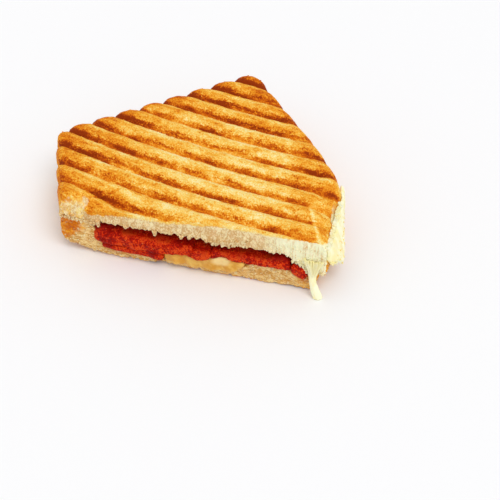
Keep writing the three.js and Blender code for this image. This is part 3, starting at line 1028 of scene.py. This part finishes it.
@dataclass
class TopSlice(BreadSlice):
    """The upper slice, which shows its ridged face, its cut and its torn corner."""

    crest: float = 30.4
    corner_rise: float = 1.2
    strip_drop: float = 4.4
    groove_reach: float = 0.38
    crease_front: float = 116.0
    crease_lean: float = -0.42
    crease_width: float = 0.9
    crack: tuple[tuple[float, float], ...] = ((12.0, 3.6), (16.5, 6.0), (23.0, 10.9))
    crack_width: float = 0.45
    crack_depth: float = 0.6
    tear_middle: tuple[float, float] = (10.2, 0.9)
    tear_size: float = 1.9
    tear_strength: float = 0.66
    tear_swell: float = 0.5
    granular: float = 0.45
    crust_left: float = 3.2
    crust_right: float = 1.3
    side_edge: float = 28.6
    side_slope: float = 0.6
    side_low: float = 0.25
    side_high: float = 0.8
    cling_front: float = 121.2
    cling_lean: float = 0.2
    cling_strength: float = 0.85
    oil_strength: float = 0.22
    mark_strength: float = 0.4

    def beyond_crease(self) -> Array:
        """How far to the right of the crease a place is."""
        return self.u - self.crease_front - self.crease_lean * self.v

    def band(self) -> Array:
        """Whether a place is on the smooth band beyond the crease, from 0 to 1."""
        return Step(-0.6, 1.2).up(self.beyond_crease()) * Step(24.0, 38.0).down(self.v)

    def crease(self) -> Array:
        """The pale line along the crease, from 0 to 1."""
        line = np.exp(-(self.beyond_crease() / self.crease_width) ** 2)
        return line * Step(14.0, 26.0).down(self.v)

    def crest_height(self) -> Array:
        """Follows the crust along the cut, down into each groove.

        Returns:
            The height of the crust over each place.
        """
        strip = Step(8.5, 13.0).up(self.u) * Step(20.0, 56.0).down(self.u)
        corner = Step(8.0, 12.0).down(self.u)
        phase = self.press.phase(self.u, self.v)
        groove = np.clip(1.0 - np.minimum(phase, 1.0 - phase) / self.groove_reach, 0, 1)
        groove *= 1 - 0.5 * Step(85.0, 110.0).up(self.u)
        right_end = Step(116.0, 120.0).up(self.u)
        return (self.crest + self.corner_rise * corner - self.strip_drop * strip
                - self.press.depth * groove - right_end)

    def tear(self) -> Array:
        """The torn place at the left corner, where crumb shows on top."""
        away = np.hypot(self.u - self.tear_middle[0], self.v - self.tear_middle[1])
        return self.tear_strength * Step(0.2, 1.7).down(away / self.tear_size)

    def right_side(self) -> Array:
        """Finds the right side near the cut, where melted cheese and crumb cling to it.

        Returns:
            Its share at each place, from 0 to 1.
        """
        beside = Step(0.15, 0.5).up(self.normal[:, 0]) * Step(115.5, 117.5).up(self.u)
        above_edge = self.z - self.side_edge + self.side_slope * (self.v + 2.0)
        return beside * Step(-1.0, 1.4).down(above_edge) * Step(9.0, 18.0).down(self.v)

    def cling(self) -> Array:
        """Finds the right rim above the sheet, where melted cheese clings.

        Returns:
            Its share at each place, from 0 to 1.
        """
        beyond = self.u + self.cling_lean * self.v - self.cling_front
        near = Step(20.0, 32.0).down(self.v)
        return Step(-0.8, 0.8).up(beyond) * near * Step(21.0, 24.0).up(self.z)

    def crumb(self) -> Array:
        """Shows crumb on the cut, the hidden face, in the tear and at the right side.

        Returns:
            How much each place shows crumb, from 0 to 1.
        """
        below = self.crest_height() - self.z
        corner = Step(9.0, 14.0).down(self.u)
        crust = lerp(self.crust_left, self.crust_right, Step(84.0, 112.0).up(self.u))
        cut = self.cut_share() * Step(0.03, 1.0).up(below / crust) * (1 - self.granular * corner)
        torn = Step(-0.8, 1.6).down(self.v) * corner * (1 - self.granular)
        beside = lerp(self.side_low, self.side_high, Step(17.0, 22.0).up(self.z))
        return np.maximum.reduce((
            cut, self.hidden(-self.normal[:, 2]), torn, self.tear(),
            beside * self.right_side(), self.cling_strength * self.cling()))

    def toast(self) -> Array:
        """Bakes it golden in the middle, orange at the right, brown at the back and left.

        Returns:
            How brown each place is, from 0 to 1, with a painted highlight on the back of each
            crest and painted shade along the crack.
        """
        u, v, band = self.u, self.v, self.band()
        back_left = Step(15.0, 50.0).up(v - u) * Step(42.0, 60.0).up(v)
        rim = Step(0.5, 10.0).down(self.depth) * (1 - band)
        wide_rim = Step(4.0, 26.0).down(self.depth)
        far_rim = Step(45.0, 70.0).up(v)
        left = Step(-8.0, 30.0).down(u)
        near = Step(6.0, 22.0).down(v) * Step(20.0, 60.0).down(u)
        middle = Step(20.0, 45.0).up(u) * Step(84.0, 104.0).down(u) * Step(50.0, 80.0).down(v)
        torn_corner = Step(0.0, 3.0).down(v) * Step(8.0, 13.0).down(u)
        return (
            0.36
            + rim * (0.05 + 0.14 * back_left + 0.04 * far_rim)
            + wide_rim * (0.05 + 0.04 * far_rim)
            + 0.06 * left
            + 0.04 * near
            + 0.06 * Step(60.0, 105.0).up(v)
            - 0.1 * middle
            + 0.02 * band
            - 0.3 * self.crease()
            # Painted highlight, in part: the back of each crest, facing up and back, is made
            # paler.
            - 0.12 * self.press.palest(u, v)
            # Painted shade: the crust is darkened along the crack.
            + 0.2 * self.crack_share()
            - 0.2 * torn_corner
            - 0.3 * self.right_side() * Step(15.0, 21.0).up(self.z)
        )

    def scorch(self) -> Array:
        """Marks it most at the back and left, and not at all on the smooth band.

        Returns:
            How strong the plate's marks are at each place, from 0 to 1.
        """
        u, v = self.u, self.v
        facing = Step(0.1, 0.5).up(np.abs(self.normal[:, 2]))
        strength = self.mark_strength + 0.07 * Step(-10.0, 50.0).up(v - u)
        near_right = Step(95.0, 105.0).up(u) * Step(5.0, 8.0).down(v)
        near_left = Step(8.0, 17.0).down(u) * Step(12.0, 18.0).down(v)
        worn = (1 - 0.8 * near_right) * (1 - 0.6 * near_left)
        return strength * facing * (1 - 0.85 * self.band()) * worn

    def streak(self) -> Array:
        """The right end of the cut is pulled into strands."""
        cut = self.cut_share() * STRAND_START.up(self.u)
        return np.maximum.reduce((cut, self.right_side(), self.cling()))

    def stain(self) -> Array:
        """Red oil soaks in from the salami below."""
        along = Step(14.0, 20.0).up(self.u) * Step(98.0, 106.0).down(self.u)
        return self.oil_strength * self.oiled() * Step(18.0, 20.2).down(self.z) * along

    def crack_share(self) -> Array:
        """Follows the crack's bends.

        Returns:
            How close each place is to the crack, 1 in its middle.
        """
        nearest = np.minimum.reduce([
            from_line(self.u, self.v, a, b) for a, b in zip(self.crack, self.crack[1:])])
        return 1 - smoothstep(nearest, 0.5 * self.crack_width, 1.8 * self.crack_width)

    def dent(self) -> Array:
        """The crack cuts into the crust, and the tear swells a little."""
        swell = self.tear_swell * self.tear() - self.crack_depth * self.crack_share()
        return Step(0.2, 0.6).up(self.normal[:, 2]) * swell * MM


@dataclass
class BaseSlice(BreadSlice):
    """The lower slice, which shows its cut and its sides."""

    end_edge: float = 11.4
    end_bulge: float = 4.0
    end_middle: float = 16.0
    end_height: float = 6.5
    end_strength: float = 0.62
    oil_strength: float = 0.28
    spot: tuple[float, float] = (110.0, 6.2)
    spot_size: tuple[float, float] = (2.6, 2.4)
    spot_strength: float = 0.4

    def golden_end(self) -> Array:
        """The toasted left end of the cut, with a round edge, from 0 to 1."""
        edge = self.end_edge - self.end_bulge * ((self.end_middle - self.z) / self.end_height) ** 2
        return Step(-5.0, 3.0).down(self.u - edge) * Step(2.0, 6.0).up(self.z)

    def crumb(self) -> Array:
        """Shows crumb on the cut, between its toasted ends, and on the hidden face.

        Returns:
            How much each place shows crumb, from 0 to 1.
        """
        right_end = 0.5 * Step(103.0, 108.0).up(self.u)
        toasted = np.maximum(self.end_strength * self.golden_end(), right_end)
        cut = self.cut_share() * (1 - toasted) * Step(0.3, 1.2).up(self.z)
        return np.maximum(cut, self.hidden(self.normal[:, 2]))

    def toast(self) -> Array:
        """Evenly golden, browner at the foot and at the left end of the cut."""
        end = (0.28 * self.golden_end() - 0.06) * self.cut_share()
        return 0.4 + 0.14 * Step(0.0, 4.0).down(self.z) + end

    def scorch(self) -> Array:
        """The plate's marks are on the underside."""
        return 0.7 * Step(0.2, 0.7).up(-self.normal[:, 2])

    def stain(self) -> Array:
        """Soaks red oil in under the thin slice of salami and below its last end.

        Returns:
            How much oil each place has, from 0 to 1.
        """
        low = Step(2.0, 4.5).up(self.z) * Step(6.0, 9.0).down(self.z)
        along = Step(17.0, 24.0).up(self.u) * Step(40.0, 50.0).down(self.u)
        across = (self.u - self.spot[0]) / self.spot_size[0]
        above = (self.z - self.spot[1]) / self.spot_size[1]
        end = self.spot_strength * np.exp(-across ** 2 - above ** 2)
        return self.oiled() * np.maximum(self.oil_strength * low * along, end)


@dataclass
class Filling:
    """One piece of filling that follows a solid, with lumps along its surface."""

    node: str
    slot: Slot
    voxel: float = 0.45
    smoothing: int = 5
    lump_size: float = 3.2
    lump_depth: float = 1.5
    grain_size: float = 1.1
    grain_depth: float = 0.4
    swell: float = 0.2
    pale_lump: tuple[float, float, float] = (73.0, 10.2, 5.0)
    seed: float = 1.0

    def build(self, material: bpy.types.Material) -> bpy.types.Object:
        """Makes the filling's mesh and gives it its finish.

        Args:
            material: The finish.

        Returns:
            The finished piece.
        """
        piece = soft_body(self.node, f"{self.node}_soft", self.voxel, self.smoothing)
        self.mark(Surface(piece))
        lumps = Relief("Lump", self.lump_size, self.lump_depth, 1.0, self.seed)
        grains = Relief("Grain", self.grain_size, self.grain_depth, 2.0, self.seed + 5.0)
        tree = GeometryTree(
            f"{self.node}_relief", {**relief_sizes(lumps, grains), "Swell": self.swell * MM})
        place = tree.here()
        height = tree.total(
            tree.layer(place, lumps), tree.layer(place, grains), tree.size("Swell"))
        return tree.displace(height).apply(piece, material)

    def mark(self, surface: Surface) -> None:
        """Stores the painted shade of the meat deep in the sandwich and where the cheese is pale.

        Args:
            surface: The filling's vertices.
        """
        # Painted shade: darker higher up and further behind the cut, where the top slice
        # overhangs.
        painted_shade = np.maximum(Step(12.5, 18.0).up(surface.z), Step(-1.0, 4.0).up(surface.v))
        u, z, size = self.pale_lump
        away = np.hypot(surface.u - u, 1.4 * (surface.z - z)) / size
        surface.keep("painted_shade", painted_shade)
        surface.keep("pale", Step(0.3, 1.3).down(away))


class Lie(Enum):
    """Which way a scattered bit points, as the most that it leans in radians."""

    ANY = math.pi
    DOWN = 0.35


@dataclass
class Scatter:
    """Many small bits, such as crumbs, spread over a host where a mask allows them."""

    name: str
    slot: Slot
    per_square_cm: float
    smallest: float
    largest: float
    length: float = 1.0
    lie: Lie = Lie.ANY
    seed: int = 1
    rough_size: float = 0.7

    def build(
        self, host: bpy.types.Object, mask: Array, material: bpy.types.Material,
    ) -> bpy.types.Object:
        """Spreads the bits, which look like the place that they lie on, as one mesh.

        Args:
            host: The piece they lie on.
            mask: How thickly they lie at each of the host's vertices, from 0 to 1.
            material: Their finish.

        Returns:
            The finished piece.
        """
        piece = linked(self.name, host.data.copy())
        piece.data.materials.clear()
        Surface(piece).keep("bits", mask)
        tree = GeometryTree(f"{self.name}_tree", {
            "Density": self.per_square_cm * SQUARE_CM_PER_M,
            "Smallest": self.smallest * MM,
            "Largest": self.largest * MM,
            "Length": self.length,
        })
        spread = tree.node("GeometryNodeDistributePointsOnFaces", {
            "Mesh": tree.entry.outputs["Geometry"],
            "Density": tree.maths("MULTIPLY", tree.attribute("bits"), tree.size("Density")),
            "Seed": self.seed,
        })
        bit = tree.node("GeometryNodeMeshIcoSphere", {"Radius": 0.5, "Subdivisions": 1})
        copies = tree.copies(spread.outputs["Points"], bit.outputs["Mesh"])
        size = tree.random("FLOAT", tree.size("Smallest"), tree.size("Largest"), self.seed + 1)
        long = tree.maths("MULTIPLY", size, tree.size("Length"))
        scale = tree.node("ShaderNodeCombineXYZ", {0: size, 1: size, 2: long})
        tree.join(scale.outputs[0], copies.inputs["Scale"])
        most = Vector((self.lie.value, self.lie.value, math.pi))
        turn = tree.random("FLOAT_VECTOR", -most, most, self.seed + 2)
        tree.join(turn, copies.inputs["Rotation"])
        bits = tree.real(copies.outputs["Instances"])
        waves = tree.noise(tree.here(), self.rough_size * MM, 1.0, 7.0)
        tree.close(tree.raised(bits, tree.maths("MULTIPLY", waves, tree.size("Smallest"))))
        return tree.apply(piece, material)


def placed(u: float, v: float, z: float) -> Vector:
    """Turns a place in the cut's own frame into the part's frame, in metres."""
    return Vector((u - FOOTPRINT_MIDDLE[0], v - FOOTPRINT_MIDDLE[1], z)) * MM


@dataclass
class Strings:
    """A row of strings of melted cheese or torn crumb that thin out towards their ends."""

    name: str
    slot: Slot
    start: tuple[float, float, float]
    end: tuple[float, float, float]
    count: int
    longest: float
    thickness: float
    thinning: float
    seed: int
    sway: float = 0.8
    spread: float = 0.5
    gather: tuple[float, float, float] | None = None
    steps: int = 7
    sides: int = 6
    wave_size: float = 2.0
    step_length: float = 0.01

    def build(self, material: bpy.types.Material) -> bpy.types.Object:
        """Hangs the strings and keeps them as one mesh.

        Args:
            material: Their finish.

        Returns:
            The finished piece.
        """
        piece = linked(self.name, bpy.data.meshes.new(self.name))
        tree = GeometryTree(f"{self.name}_tree", {
            "Count": float(self.count),
            "Longest": self.longest * MM,
            "Thickness": self.thickness * MM,
            "Sway": self.sway * MM,
            "Spread": self.spread * MM,
            "Thinning": self.thinning,
        })
        share = tree.node("GeometryNodeSplineParameter").outputs["Factor"]
        here = tree.here()
        waves = tree.noise(here, self.wave_size * MM, 1.0, float(self.seed))
        swing = tree.maths("MULTIPLY", tree.maths("ADD", waves, share), tree.size("Sway"))
        bend = tree.scaled(self.own(tree, (-1.0, -0.4, 0.0), (1.0, 0.4, 0.0), 4), swing)
        bend = tree.scaled(bend, tree.maths("MULTIPLY", share, tree.maths("SUBTRACT", 1.0, share)))
        reach = tree.scaled(self.reach(tree, here), share)
        thinned = tree.maths("MULTIPLY", share, tree.size("Thinning"))
        kept = tree.maths("SUBTRACT", 1.0, thinned)
        ring = tree.node(
            "GeometryNodeCurvePrimitiveCircle", {"Resolution": self.sides, "Radius": 0.5})
        solid = tree.node("GeometryNodeCurveToMesh", {
            "Curve": tree.moved(self.strands(tree), tree.vectors("ADD", reach, bend)),
            "Profile Curve": ring.outputs["Curve"],
            "Scale": tree.maths("MULTIPLY", kept, tree.size("Thickness")),
            "Fill Caps": True,
        })
        tree.close(solid.outputs["Mesh"])
        return tree.apply(piece, material)

    def strands(self, tree: GeometryTree) -> Socket:
        """Lays short curves along the row, one for each string.

        Args:
            tree: The tree in the making.

        Returns:
            The curves, each at the place where its string hangs.
        """
        row = tree.node("GeometryNodeMeshLine", {
            "Count": tree.size("Count"),
            "Start Location": placed(*self.start),
            "Offset": placed(*self.end),
        }, mode="END_POINTS")
        jitter = tree.random("FLOAT_VECTOR", (-1.0, -0.3, -1.0), (1.0, 0.3, 1.0), self.seed + 1)
        points = tree.moved(row.outputs["Mesh"], tree.scaled(jitter, tree.size("Spread")))
        line = tree.node(
            "GeometryNodeCurvePrimitiveLine", {"End": (0.0, 0.0, -self.step_length * MM)})
        fine = tree.node(
            "GeometryNodeResampleCurve", {"Curve": line.outputs["Curve"], "Count": self.steps})
        mark = tree.node("GeometryNodeStoreNamedAttribute", {
            "Geometry": tree.copies(points, fine.outputs["Curve"]).outputs["Instances"],
            "Name": "string",
            "Value": tree.node("GeometryNodeInputIndex").outputs[0],
        }, data_type="FLOAT", domain="INSTANCE")
        return tree.real(mark.outputs["Geometry"])

    def reach(self, tree: GeometryTree, here: Socket) -> Socket:
        """Works out where each string ends, seen from where it starts.

        Args:
            tree: The tree in the making.
            here: Where the string starts.

        Returns:
            The way from its start to its end.
        """
        if self.gather is None:
            drop = tree.random("FLOAT", 0.25, 1.0, self.seed + 2)
            tree.join(tree.attribute("string"), drop.node.inputs["ID"])
            way = self.own(tree, (-0.15, 0.0, -1.0), (0.15, 0.1, -1.0), 3)
            return tree.scaled(way, tree.maths("MULTIPLY", drop, tree.size("Longest")))
        scatter = tree.scaled(
            self.own(tree, (-0.6, -0.3, -1.0), (0.6, 0.3, 1.0), 3), tree.size("Spread"))
        target = tree.vectors("SUBTRACT", placed(*self.gather), here)
        return tree.vectors("ADD", scatter, target)

    def own(
        self, tree: GeometryTree, low: Sequence[float], high: Sequence[float], turn: int,
    ) -> Socket:
        """Draws one random vector for the whole of each string.

        Args:
            tree: The tree in the making.
            low: The lowest vector.
            high: The highest vector.
            turn: Which draw it is.

        Returns:
            The vector.
        """
        value = tree.random("FLOAT_VECTOR", low, high, self.seed + turn)
        tree.join(tree.attribute("string"), value.node.inputs["ID"])
        return value


@dataclass(frozen=True)
class StudioStage:
    """A plain pale floor, soft studio light and the camera."""

    floor_reach: float = 3.0
    floor_colour: tuple[float, float, float, float] = (0.93, 0.93, 0.94, 1.0)
    floor_roughness: float = 0.6
    turn: float = 13.9
    tilt: float = 44.0
    camera_place: tuple[float, float, float] = (188.5, -416.4, 430.8)
    lens: float = 98.3
    sensor: float = 36.0
    nearest: float = 0.01
    farthest: float = 20.0
    sky: float = 0.765
    key_power: float = 1.05
    key_spread: float = 35.0
    key_direction: tuple[float, float, float] = (-0.4, 0.35, -1.0)

    def build(self) -> None:
        """Makes the floor, the lights, the sky and the camera."""
        self.make_floor()
        self.make_light()
        self.make_camera()

    def make_floor(self) -> None:
        """Lays the floor under the part."""
        mesh = bpy.data.meshes.new("floor")
        reach = self.floor_reach
        corners = [(-reach, -reach, 0), (reach, -reach, 0), (reach, reach, 0), (-reach, reach, 0)]
        mesh.from_pydata(corners, [], [(0, 1, 2, 3)])
        floor = linked("floor", mesh)
        tree = Shading("pale_floor")
        tree.paint(Base_Color=self.floor_colour, Roughness=self.floor_roughness)
        mesh.materials.append(tree.material)

    def make_light(self) -> None:
        """Lights the part from a white sky and one broad lamp behind it."""
        world = bpy.data.worlds.new("white_sky")
        world.use_nodes = True
        back = world.node_tree.nodes["Background"]
        back.inputs["Color"].default_value = (1.0, 1.0, 1.0, 1.0)
        back.inputs["Strength"].default_value = self.sky
        bpy.context.scene.world = world
        lamp = bpy.data.lights.new("broad_lamp", "SUN")
        lamp.energy = self.key_power
        lamp.angle = math.radians(self.key_spread)
        holder = linked("broad_lamp", lamp)
        holder.rotation_mode = "QUATERNION"
        holder.rotation_quaternion = Vector(self.key_direction).to_track_quat("-Z", "Y")
        bpy.context.scene.view_settings.view_transform = "Standard"

    def make_camera(self) -> None:
        """Puts the camera at the viewing angle of the picture."""
        camera = bpy.data.cameras.new("camera")
        camera.lens = self.lens
        camera.sensor_width = self.sensor
        camera.clip_start = self.nearest
        camera.clip_end = self.farthest
        holder = linked("camera", camera)
        turn, tilt = math.radians(self.turn), math.radians(self.tilt)
        ahead = Vector((
            -math.sin(turn) * math.cos(tilt), math.cos(turn) * math.cos(tilt), -math.sin(tilt)))
        right = Vector((math.cos(turn), math.sin(turn), 0.0))
        axes = Matrix((right, right.cross(ahead), -ahead)).transposed().to_4x4()
        holder.matrix_world = Matrix.Translation(placed(*self.camera_place)) @ axes
        bpy.context.scene.camera = holder


def finished(piece: bpy.types.Object, slot: Slot, *nodes: str) -> None:
    """Smooths a finished piece, hangs it on the root, hides the solids that it stands for and logs
    its triangles.

    Args:
        piece: The piece.
        slot: Its material slot; not used.
        nodes: The solids that it stands for.
    """
    for polygon in piece.data.polygons:
        polygon.use_smooth = True
    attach(piece, "root")
    if nodes:
        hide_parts(*nodes)
    piece.data.calc_loop_triangles()
    log.info("%s: %d triangles", piece.name, len(piece.data.loop_triangles))


def bake_bread() -> tuple[bpy.types.Object, bpy.types.Object]:
    """Makes both slices of bread.

    Returns:
        The top slice and the bottom slice.
    """
    base_finish = BreadFinish(
        "base_bread",
        mottle=0.7,
        grain=0.9,
        lie=(0.4, 1.0, 1.0),
        crumb_light=shown(250, 218, 152),
        crumb_shade=shown(208, 150, 72),
        crumb_warm=shown(230, 166, 84),
    )
    slices = (
        TopSlice("top_slice", "bread_top", Slot.TOP_CRUST, TOP_OUTLINE, BreadFinish("top_bread")),
        BaseSlice("bottom_slice", "bread_base", Slot.BASE_CRUST, BASE_OUTLINE, base_finish),
    )
    pieces = []
    for bread in slices:
        pieces.append(bread.build())
        finished(pieces[-1], bread.slot, bread.node)
    return tuple(pieces)


def scatter_crumbs(top: bpy.types.Object, base: bpy.types.Object) -> None:
    """Spreads crumbs over the cut and the crust.

    Args:
        top: The finished top slice.
        base: The finished bottom slice.
    """
    crumb = BreadFinish("loose_crumb").material()
    up, down = Surface(top), Surface(base)
    facing, reach = Step(0.3, 0.7), Step(0.0, 1.5)
    cut = up.front(facing, reach)
    lower_edge = cut * Step(0.1, 0.4).up(-up.normal[:, 2]) * Step(12.0, 16.0).up(up.u)
    seam = Step(0.5, 2.0).down(up.v) * Step(11.0, 15.0).down(up.u) * Step(20.5, 25.0).down(up.z)
    side = Step(0.2, 0.6).up(up.normal[:, 0]) * Step(116.5, 118.0).up(up.u)
    side *= Step(9.0, 14.0).down(up.v) * Step(23.0, 28.0).down(up.z)
    crust = Step(0.5, 0.9).up(up.normal[:, 2]) * Step(24.0, 26.0).up(up.z)
    base_cut = down.front(facing, reach) * Step(0.8, 1.6).up(down.z)
    upper, lower = Slot.TOP_CRUST, Slot.BASE_CRUST
    for host, mask, crumbs in (
        (top, lower_edge, Scatter("crumb_fringe", upper, 20.0, 0.5, 2.2, 1.4, Lie.DOWN, 3)),
        (top, cut * Step(25.0, 28.0).down(up.z),
         Scatter("cut_crumbs_top", upper, 45.0, 0.4, 1.1, seed=11)),
        (top, seam, Scatter("corner_crumbs", upper, 60.0, 0.6, 1.8, seed=51)),
        (top, side, Scatter("side_crumbs", upper, 45.0, 0.6, 2.0, seed=61)),
        (top, crust, Scatter("crust_crumbs", upper, 6.0, 0.3, 0.9, seed=21)),
        (base, base_cut, Scatter("cut_crumbs_base", lower, 40.0, 0.4, 1.1, seed=31)),
    ):
        finished(crumbs.build(host, mask, crumb), crumbs.slot)


def add_salami() -> None:
    """Adds the five pieces of salami."""
    red = SalamiFinish().material()
    for filling in (
        Filling("salami_folded", Slot.SALAMI, lump_depth=1.7, swell=0.3, seed=2.0),
        Filling("salami_under", Slot.SALAMI, lump_depth=0.6, swell=0.4, seed=3.0),
        Filling("salami_tongue", Slot.SALAMI, seed=4.0),
        Filling("salami_right", Slot.SALAMI, swell=0.35, seed=5.0),
        Filling("salami_tip", Slot.SALAMI, lump_depth=0.9, swell=0.55, seed=6.0),
    ):
        finished(filling.build(red), filling.slot, filling.node)


def add_cheese(pale: bpy.types.Material) -> bpy.types.Object:
    """Adds the layer, the sheet and the string of cheese.

    Args:
        pale: The finish of the pale cheese.

    Returns:
        The finished sheet.
    """
    yellow = CheeseFinish("yellow_cheese", shown(238, 190, 90), shown(216, 152, 44)).material()
    layer = Filling("cheese_layer", Slot.CHEESE, lump_size=4.0, grain_depth=0.2, swell=0.55,
                    seed=7.0)
    sheet = Filling("cheese_side", Slot.PALE_CHEESE, lump_size=2.2, lump_depth=0.8,
                    grain_depth=0.3, swell=0.35, seed=8.0)
    drip = Filling("cheese_drip", Slot.PALE_CHEESE, voxel=0.3, lump_depth=0.5, smoothing=3,
                   grain_depth=0.1, seed=9.0)
    made = {}
    for filling, material in ((layer, yellow), (sheet, pale), (drip, pale)):
        made[filling.node] = filling.build(material)
        finished(made[filling.node], filling.slot, filling.node)
    return made[sheet.node]


def hang_crumb(torn: bpy.types.Material) -> None:
    """Hangs torn crumb over the filling, the seam and the right corner.

    Args:
        torn: The finish of the torn crumb.
    """
    slot = Slot.TOP_CRUST
    for row in (
        Strings("crumb_teeth", slot, (16.5, -1.8, 20.2), (68.1, -1.8, 20.0), 5, 3.8, 2.6, 0.4, 45),
        Strings("seam_crumbs", slot, (-0.6, -1.9, 20.4), (15.2, -2.2, 19.2), 20, 1.6, 1.7, 0.3, 65,
                spread=0.7),
        Strings("corner_strands", slot, (104.5, -1.8, 16.4), (118, -1.5, 12.0), 26, 2.6, 1.3, 0.7,
                5),
        Strings("lip_crumbs", slot, (69.4, -1.7, 19.9), (84.5, -1.7, 22.9), 44, 3.8, 1.6, 0.25,
                95),
        Strings("tip_strands", slot, (107.2, -2.3, 17.2), (113.0, -2.3, 9.8), 16, 2.2, 1.2, 0.6,
                85),
    ):
        piece = row.build(torn)
        surface = Surface(piece)
        surface.keep("crumb", np.ones_like(surface.u))
        surface.keep("streak", STRAND_START.up(surface.u))
        finished(piece, row.slot)


def pull_cheese(pale: bpy.types.Material) -> None:
    """Pulls strings of cheese over the drip and along the edges of the sheet.

    Args:
        pale: The finish of the pale cheese.
    """
    slot = Slot.PALE_CHEESE
    for row in (
        Strings("drip_strings", slot, (110.8, -2.7, 18.6), (117.6, -2.6, 18.0), 24, 1.0, 1.0, 0.2,
                15, spread=1.3, gather=(114.4, -4.2, 9.8)),
        Strings("sheet_top", slot, (120.1, -0.6, 26.0), (119.5, 29.0, 26.2), 80, 3.6, 1.6, 0.3,
                35),
        Strings("sheet_foot", slot, (125.4, 9.5, 11.4), (121.8, -1.2, 18.4), 30, 2.6, 1.0, 0.7,
                25),
    ):
        finished(row.build(pale), row.slot)


def main() -> None:
    """Builds the toastie piece by piece."""
    logging.basicConfig(level=logging.INFO, format="%(name)s: %(message)s")
    StudioStage().build()
    top, base = bake_bread()
    scatter_crumbs(top, base)
    add_salami()
    pale = CheeseFinish(
        "pale_cheese", shown(255, 252, 214), shown(252, 238, 172),
        stretch=(1.0, 1.0, 0.35)).material()
    sheet = add_cheese(pale)
    torn = BreadFinish("torn_crumb").material()
    lower = Step(14.0, 22.0).down(Surface(sheet).z)
    dots = Scatter("sheet_crumbs", Slot.PALE_CHEESE, 22.0, 0.4, 1.3, seed=71)
    finished(dots.build(sheet, lower, torn), dots.slot)
    hang_crumb(torn)
    pull_cheese(pale)


if __name__ == "__main__":
    main()
